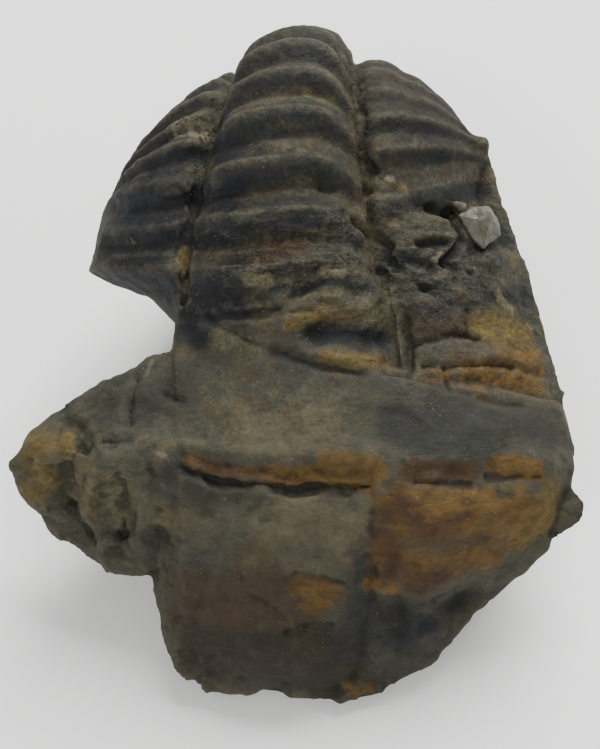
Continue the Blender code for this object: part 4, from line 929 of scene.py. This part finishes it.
def fuse(piece, voxel, rounds):
    """Join everything that overlaps into one closed skin, and rub it down."""
    remesh = piece.modifiers.new("fuse", "REMESH")
    remesh.mode = "VOXEL"
    remesh.voxel_size = voxel
    rub = piece.modifiers.new("rub_down", "SMOOTH")
    rub.factor, rub.iterations = RUB_STRENGTH, rounds
    keep_result(piece)


def thin_out(piece, most):
    """Bring the skin down to so many triangles, taking them where it is flattest."""
    piece.data.calc_loop_triangles()
    thin = piece.modifiers.new("thin_out", "DECIMATE")
    thin.ratio = min(1.0, most / len(piece.data.loop_triangles))
    keep_result(piece)
    piece.data.shade_smooth()


def carve(mesh, strokes):
    """Cut or raise every stroke along the surface, with ragged edges and an uneven depth."""
    noise.seed_set(RAGGED_SEED)
    points, surface = read_points(mesh), surface_of(mesh)
    spots = [Vector(point) for point in points]
    shifts = [sum((noise.noise_vector(spot / size) * shift for size, shift in RAGGED_EDGES), Vector())
              for spot in spots]
    ragged = points + np.array(shifts)
    uneven = np.array([1.0 + UNEVEN_DEPTH * noise.noise(spot / UNEVEN_SIZE) for spot in spots])
    rise = np.zeros(len(points))
    for width, height, route in strokes.values():
        rise += height * uneven * np.exp(-(route_distance(ragged, surface, route) / width) ** 2)
    push_out(mesh, points, rise)


def weather(mesh, back):
    """Lumps of several sizes: strong on the matrix, faint on the animal."""
    points, animal = read_points(mesh), surface_of(back.data)
    rise = np.zeros(len(points))
    for i, point in enumerate(points):
        spot = Vector(point)
        stone = min(max((animal.find_nearest(spot)[3] - SKIN_REACH) / SKIN_FADE, 0), 1)
        for size, on_matrix, on_body in WEATHERING:
            height = on_body + (on_matrix - on_body) * stone
            rise[i] += height * noise.noise(spot / size + Vector((size, 0, 0)))
    push_out(mesh, points, rise)


def finish_tree():
    """The stone's fine relief, and where it is shell, painted slope shade, crest and hollow."""
    bench, given = new_shape_tree("stone_finish", [
        ("Back", "NodeSocketObject"), ("Material", "NodeSocketMaterial"),
        *((name, "NodeSocketFloat") for name in RELIEF)])
    stone = given["Geometry"]
    place = bench.put("GeometryNodeInputPosition")
    normal = bench.put("GeometryNodeInputNormal")
    back = bench.put("GeometryNodeObjectInfo", values={"Object": given["Back"]}, out="Geometry")
    reach = bench.put("GeometryNodeProximity", {"target_element": "FACES"}, {0: back}, "Distance")

    def sampled(name):
        """What the nearest place on the back carries."""
        return bench.put("GeometryNodeSampleNearestSurface", {"data_type": "FLOAT"},
                         {"Mesh": back, "Value": bench.named(name), "Sample Position": place}, "Value")

    away = bench.ramp(reach, *MATRIX_SPAN)
    # The painted slope shade is carried from the back onto the stone.
    for name, field in (("matrix", away), ("patina", sampled("patina") * (1 - away)),
                        ("furrow", sampled("furrow") * (1 - away))):
        stone = bench.store(stone, name, field)
    matrix, rubble, layers, smooth = map(bench.named, ("matrix", "rubble", "layers", "smooth"))
    rough = (matrix * (1 - SKIN_ROUGHNESS) + SKIN_ROUGHNESS) * (1 - smooth * SMOOTHING)
    coarse = bench.noise(place, *COARSE_CLOUDS) - 0.5
    grain = bench.noise(place, *GRAIN_CLOUDS) - 0.5
    broken = bench.facets(place, WIDE_FACETS) + bench.facets(place, SMALL_FACETS) * SMALL_SHARE
    steps = bench.math("SNAP", bench.streaks(place, *LAYER_STREAKS), LAYER_STEP) - 0.5
    pits = bench.ramp(bench.cells(place, PIT_SPACING), *PIT_SPAN)
    pitted = bench.ramp(bench.noise(place, *PITTED_CLOUDS), *PITTED_SPAN) * (1 - smooth)
    rise = (coarse * given["Matrix roughness"] + broken * given["Break depth"]) * rough
    rise = rise + grain * (1 - smooth.clamp() * GRAIN_SMOOTHING) * given["Grain height"]
    rise = rise - pits * pitted * given["Pit depth"] + steps * layers * given["Layer height"]
    rise = rise + (CRUMB_TOP - bench.cells(place, CRUMB_SPACING)) * rubble * given["Crumb height"]
    stone = bench.put("GeometryNodeSetPosition", values={
        "Geometry": stone, "Offset": bench.vector("SCALE", normal, scale=rise)})
    for name, rounds in BLUR_ROUNDS.items():
        blurred = bench.put("GeometryNodeBlurAttribute", {"data_type": "FLOAT_VECTOR"},
                            {"Value": place, "Iterations": rounds})
        height = bench.vector("DOT_PRODUCT", bench.vector("SUBTRACT", place, blurred), normal, out="Value")
        stone = bench.store(stone, name, height)
    end_shape_tree(bench, stone, given["Material"])
    return bench


def zone(mesh, name, zones):
    """How strongly a zone reaches each place, kept under its name."""
    points, surface = read_points(mesh), surface_of(mesh)
    strength = np.zeros(len(points))
    for reach, full, route in zones:
        away = route_distance(points, surface, route) / (reach * ZONE_SPREAD)
        strength = np.maximum(strength, full * np.exp(-away ** 2))
    write_numbers(mesh, name, strength)


def cut_base(mesh):
    """The flat base that the stone rests on."""
    bm = bmesh.new()
    bm.from_mesh(mesh)
    everything = list(bm.verts) + list(bm.edges) + list(bm.faces)
    bmesh.ops.bisect_plane(bm, geom=everything, plane_co=(0, 0, 0), plane_no=(0, 0, 1), clear_inner=True)
    bmesh.ops.holes_fill(bm, edges=[edge for edge in bm.edges if edge.is_boundary], sides=0)
    bmesh.ops.triangulate(bm, faces=[face for face in bm.faces if len(face.verts) > 4])
    bm.to_mesh(mesh)
    bm.free()


def bring_to_frame(mesh):
    """From millimetres round the animal to metres round the base."""
    mesh.transform(Matrix.Translation(-Vector(BASE_MIDDLE)))
    mesh.transform(Matrix.Scale(METRES, 4))


def make_stone(back, material):
    """The fossil and its matrix as one closed skin."""
    stone = rough_stone(back)
    fuse(stone, FINE_VOXEL, RUB_ROUNDS)
    carve(stone.data, STROKES)
    weather(stone.data, back)
    for name, zones in (("rubble", RUBBLE), ("layers", LAYERS), ("smooth", SMOOTH)):
        zone(stone.data, name, zones)
    run_shape_tree(stone, finish_tree(), {"Back": back, "Material": material, **RELIEF})
    thin_out(stone, MOST_TRIANGLES)
    for name, zones in STAINS_AND_SHADE.items():
        zone(stone.data, name, zones)
    cut_base(stone.data)
    return stone


# ---------------------------------------------------------------- materials
def new_material(name):
    """A material with its bench, shader and place in millimetres."""
    material = bpy.data.materials.new(name)
    material.use_nodes = True
    bench = Bench(material.node_tree)
    shader = material.node_tree.nodes["Principled BSDF"]
    place = bench.vector("SCALE", bench.put("ShaderNodeTexCoord", out="Object"), scale=MILLIMETRES)
    return material, bench, shader, place


def carried(bench, name):
    """A number that the mesh carries."""
    return bench.put("ShaderNodeAttribute", {"attribute_name": name}, out="Fac")


def coated(bench, field, colour, coats):
    """A colour under coats of others."""
    for name, low, high, start, end, paint in coats:
        colour = bench.mix(bench.ramp(field[name], low, high, start, end), colour, paint)
    return colour


def skin_colour(bench, place, field):
    """Shell and rock under their stains and painted shade, with crests lightened by wear and a painted
    highlight, painted shade in hollows, grit and flecks.
    """
    uneven, matrix, furrow = field["blotch"] - 0.5, field["matrix"], field["furrow"]
    # Painted shade on the ring slopes, given a ragged edge.
    field["slope_shade_edge"] = field["patina"] + uneven * SLOPE_SHADE_RAGGED
    field["sand_edge"] = furrow + uneven * FURROW_RAGGED
    shell = coated(bench, field, SHELL_BROWN, SHELL_COATS)
    colour = bench.mix(matrix, shell, coated(bench, field, ROCK_OLIVE, ROCK_COATS))
    ragged = sum((field[name] - 0.5) * push for name, push in STAIN_AND_SHADE_RAGGED.items())
    for name, low, high, first, second in STAIN_AND_SHADE_COLOURS:
        reach = bench.ramp(carried(bench, name) + ragged, low, high, smooth=True)
        tint = bench.mix(bench.ramp(field["streaky"], *STAIN_AND_SHADE_TINT), first, second)
        colour = bench.mix(reach * STAIN_AND_SHADE_COVER, colour, tint)
    # Crests lightened: partly wear, partly a painted highlight.
    worn_and_lit = bench.ramp(field["crest"] + uneven * WORN_AND_LIT_RAGGED, *WORN_AND_LIT_SPAN) * field["rough"]
    colour = bench.mix(worn_and_lit * WORN_AND_LIT_COVER, colour, WORN_AND_LIT_EDGE)
    # Painted shade in hollows and creases.
    hollow = bench.ramp(field["crest"] + field["bulge"] * BULGE_SHARE, *HOLLOW_SPAN)
    colour = bench.mix(hollow * (HOLLOW_COVER - furrow * FURROW_SPARED), colour, HOLLOW_SHADE)
    grit = bench.ramp(field["sandy"], *SAND_GRIT) * (1 - matrix * SAND_SPARED) + 1.0
    speckled = bench.ramp(field["speckle"], *SPECKLE_GRIT) * (1 - matrix * SPECKLE_SPARED)
    grit = grit + speckled * field["rough"]
    hues = bench.vector("SUBTRACT", bench.noise(place, *HUE_CLOUDS, out="Color"), (0.5, 0.5, 0.5))
    hues = bench.vector("SCALE", hues, scale=HUE_STRENGTH - matrix * HUE_SPARED)
    shade = bench.vector("ADD", hues, bench.triple(grit, grit, grit))
    colour = bench.put("ShaderNodeMix", {"data_type": "RGBA", "blend_type": "MULTIPLY"},
                       {"Factor_Float": 1.0, "A_Color": colour, "B_Color": shade}, "Result_Color")
    flecked = (bench.ramp(field["seldom"], *SELDOM_SPAN) + field["layers"]).clamp()
    return bench.mix(bench.ramp(field["flecks"], *FLECK_SPAN) * flecked * FLECK_COVER, colour, SPECK)


def skin_relief(bench, place, field):
    """Grains, pores, streaks and split layers, too small to be modelled."""
    matrix = field["matrix"]
    relief = field["sandy"] * SANDY_BUMP + field["ripple"] * RIPPLE_BUMP
    relief = relief - bench.ramp(bench.cells(place, PORE_SPACING), *PORE_SPAN)
    relief = relief + field["streaky"] * matrix * STREAK_BUMP
    relief = relief + field["speckle"] * field["rough"] * SPECKLE_BUMP
    split = bench.ramp(bench.streaks(place, *SHEETS), *SHEET_SPAN)
    return relief + split * (field["layers"] * LAYER_BUMP + matrix * MATRIX_BUMP)


def add_bump(bench, shader, relief, strength):
    """Relief, in millimetres, for the light to play on."""
    bump = bench.put("ShaderNodeBump", values={"Strength": strength, "Distance": METRES, "Height": relief})
    bench.feed(shader.inputs["Normal"], bump)


def stone_material():
    """Dark shell and olive limestone with rust stains, painted shade and painted highlights."""
    material, bench, shader, place = new_material("weathered_stone")
    field = {name: bench.noise(place, *look) for name, look in CLOUDS.items()}
    field["streaky"] = bench.streaks(place, *STREAKS)
    for name in ("matrix", "patina", "furrow", "crest", "bulge", "layers"):
        field[name] = carried(bench, name)
    field["rough"] = 1 - carried(bench, "smooth").clamp() * SMOOTH_SHARE
    shader.inputs["Specular IOR Level"].default_value = SPECULAR
    bench.feed(shader.inputs["Base Color"], skin_colour(bench, place, field))
    bench.feed(shader.inputs["Roughness"],
               bench.ramp(field["blotch"] + field["patina"] * SLOPE_SHADE_GLOSS, *ROUGH_SPAN))
    add_bump(bench, shader, skin_relief(bench, place, field), BUMP_STRENGTH)
    return material


def calcite_material():
    """Milky, slightly glossy calcite."""
    material, bench, shader, place = new_material("milky_calcite")
    veil, milk = bench.noise(place, *VEIL_CLOUDS), bench.noise(place, *MILK_CLOUDS)
    colour = bench.mix(bench.ramp(veil, *VEIL_SPAN), CALCITE_PALE, CALCITE_GREY)
    colour = bench.mix(bench.ramp(milk, *MILK_SPAN), colour, SAND)
    bench.feed(shader.inputs["Base Color"], colour)
    bench.feed(shader.inputs["Roughness"], bench.ramp(milk, *CALCITE_ROUGH))
    add_bump(bench, shader, veil * VEIL_BUMP + milk * MILK_BUMP, CALCITE_STRENGTH)
    return material


# ---------------------------------------------------------------- loose pieces
def make_chip(material):
    """The chip of calcite on the right flank."""
    bm = bmesh.new()
    add_hull(bm, CHIP)
    chip = new_piece("calcite_chip")
    bm.to_mesh(chip.data)
    bm.free()
    fuse(chip, CHIP_VOXEL, CHIP_RUBS)
    points = read_points(chip.data)
    rise = [sum(noise.noise(Vector(point) / size) * height for size, height in CHIP_BUMPS)
            for point in points]
    push_out(chip.data, points, np.array(rise))
    chip.data.materials.clear()
    chip.data.materials.append(material)
    return chip


def grain_tree():
    """Crumbs scattered over the stone, thick where a zone is strong, half sunk into it."""
    bench, given = new_shape_tree("scattered_grains", [
        ("Stone", "NodeSocketObject"), ("Material", "NodeSocketMaterial"), ("Zone", "NodeSocketString"),
        ("In the zone", "NodeSocketFloat"), ("Elsewhere", "NodeSocketFloat"),
        ("Smallest", "NodeSocketFloat"), ("Largest", "NodeSocketFloat"), ("Seed", "NodeSocketInt")])
    stone = bench.put("GeometryNodeObjectInfo", values={"Object": given["Stone"]}, out="Geometry")
    clouds = bench.noise(bench.put("GeometryNodeInputPosition"), *DRIFT_CLOUDS)
    in_zone = bench.ramp(bench.named(given["Zone"]), *ZONE_SPAN) * given["In the zone"]
    spots = bench.put("GeometryNodeDistributePointsOnFaces", values={
        "Mesh": stone, "Density": in_zone + bench.ramp(clouds, *DRIFT_SPAN) * given["Elsewhere"],
        "Seed": given["Seed"]}, out="Points")
    turn = bench.put("FunctionNodeRandomValue", {"data_type": "FLOAT_VECTOR"}, {
        "Min": (0.0, 0.0, 0.0), "Max": (math.tau, math.tau, math.tau), "Seed": given["Seed"]})
    size = bench.put("FunctionNodeRandomValue", {"data_type": "FLOAT"}, {
        "Min_001": given["Smallest"], "Max_001": given["Largest"], "Seed": given["Seed"]}, "Value_001")
    crumb = bench.put("GeometryNodeMeshIcoSphere", values={"Radius": GRAIN_RADIUS, "Subdivisions": 1})
    grains = bench.put("GeometryNodeInstanceOnPoints", values={
        "Points": spots, "Instance": crumb, "Rotation": turn,
        "Scale": bench.triple(size, size * GRAIN_WIDTH, size * GRAIN_THICKNESS)})
    end_shape_tree(bench, grains, given["Material"])
    return bench


def make_grains(name, stone, material, values):
    """One kind of grain, as a mesh of its own."""
    grains = new_piece(name)
    run_shape_tree(grains, grain_tree(), {"Stone": stone, "Material": material, **values})
    return grains


def sand_material():
    """Sandy crumbs, each part of the scatter a little different."""
    material, bench, shader, place = new_material("sandy_crumbs")
    drift = bench.noise(place, *SAND_CLOUDS)
    colour = bench.mix(bench.ramp(drift, *SAND_SPAN), SAND_DARK, SAND)
    bench.feed(shader.inputs["Base Color"], colour)
    bench.feed(shader.inputs["Roughness"], bench.ramp(drift, *SAND_ROUGH))
    shader.inputs["Specular IOR Level"].default_value = SAND_SPECULAR
    return material


# ---------------------------------------------------------------- setting
def plain_material(name, colour, roughness):
    """One even colour."""
    material = bpy.data.materials.new(name)
    material.use_nodes = True
    shader = material.node_tree.nodes["Principled BSDF"]
    shader.inputs["Base Color"].default_value = colour
    shader.inputs["Roughness"].default_value = roughness
    return material


def add_floor():
    """A plain pale floor."""
    bm = bmesh.new()
    bmesh.ops.create_grid(bm, x_segments=1, y_segments=1, size=FLOOR_HALF)
    floor = new_piece("floor")
    bm.to_mesh(floor.data)
    bm.free()
    floor.data.materials.append(plain_material("pale_floor", FLOOR_PALE, FLOOR_ROUGHNESS))


def aim(thing, place, target):
    """Put a light or the camera somewhere and point it at something."""
    place = Vector(place)
    thing.location = place
    thing.rotation_euler = (Vector(target) - place).to_track_quat("-Z", "Y").to_euler()


def add_softbox(name, place, size, watts):
    """A square softbox aimed at the stone."""
    light = bpy.data.lights.new(name, "AREA")
    light.size, light.energy = size, watts
    box = bpy.data.objects.new(name, light)
    bpy.context.scene.collection.objects.link(box)
    aim(box, place, VIEW_TARGET)


def add_surroundings():
    """An even pale room light."""
    world = bpy.data.worlds.new("soft_room")
    world.use_nodes = True
    ground = world.node_tree.nodes["Background"]
    ground.inputs["Color"].default_value = (1.0, 1.0, 1.0, 1.0)
    ground.inputs["Strength"].default_value = ROOM_LIGHT
    bpy.context.scene.world = world


def add_camera():
    """The camera above the front of the stone."""
    lens = bpy.data.cameras.new("camera")
    lens.lens, lens.sensor_width, lens.clip_start = VIEW_LENS, SENSOR_WIDTH, NEAREST
    camera = bpy.data.objects.new("camera", lens)
    bpy.context.scene.collection.objects.link(camera)
    aim(camera, VIEW_PLACE, VIEW_TARGET)
    bpy.context.scene.camera = camera


def build():
    """Make every piece, tie it to the frame and set the scene."""
    back = make_back()
    stone = make_stone(back, stone_material())
    calcite = calcite_material()
    chip = make_chip(calcite)
    pale = make_grains("calcite_grains", stone, calcite, CALCITE_GRAINS)
    sand = make_grains("sandy_crumbs", stone, sand_material(), SANDY_CRUMBS)
    bpy.data.objects.remove(back)
    for piece in (stone, chip, pale, sand):
        bring_to_frame(piece.data)
        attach(piece, BODY)
        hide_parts(NODE)
    add_floor()
    add_surroundings()
    for name, (place, size, watts) in SOFTBOXES.items():
        add_softbox(name, place, size, watts)
    add_camera()


build()
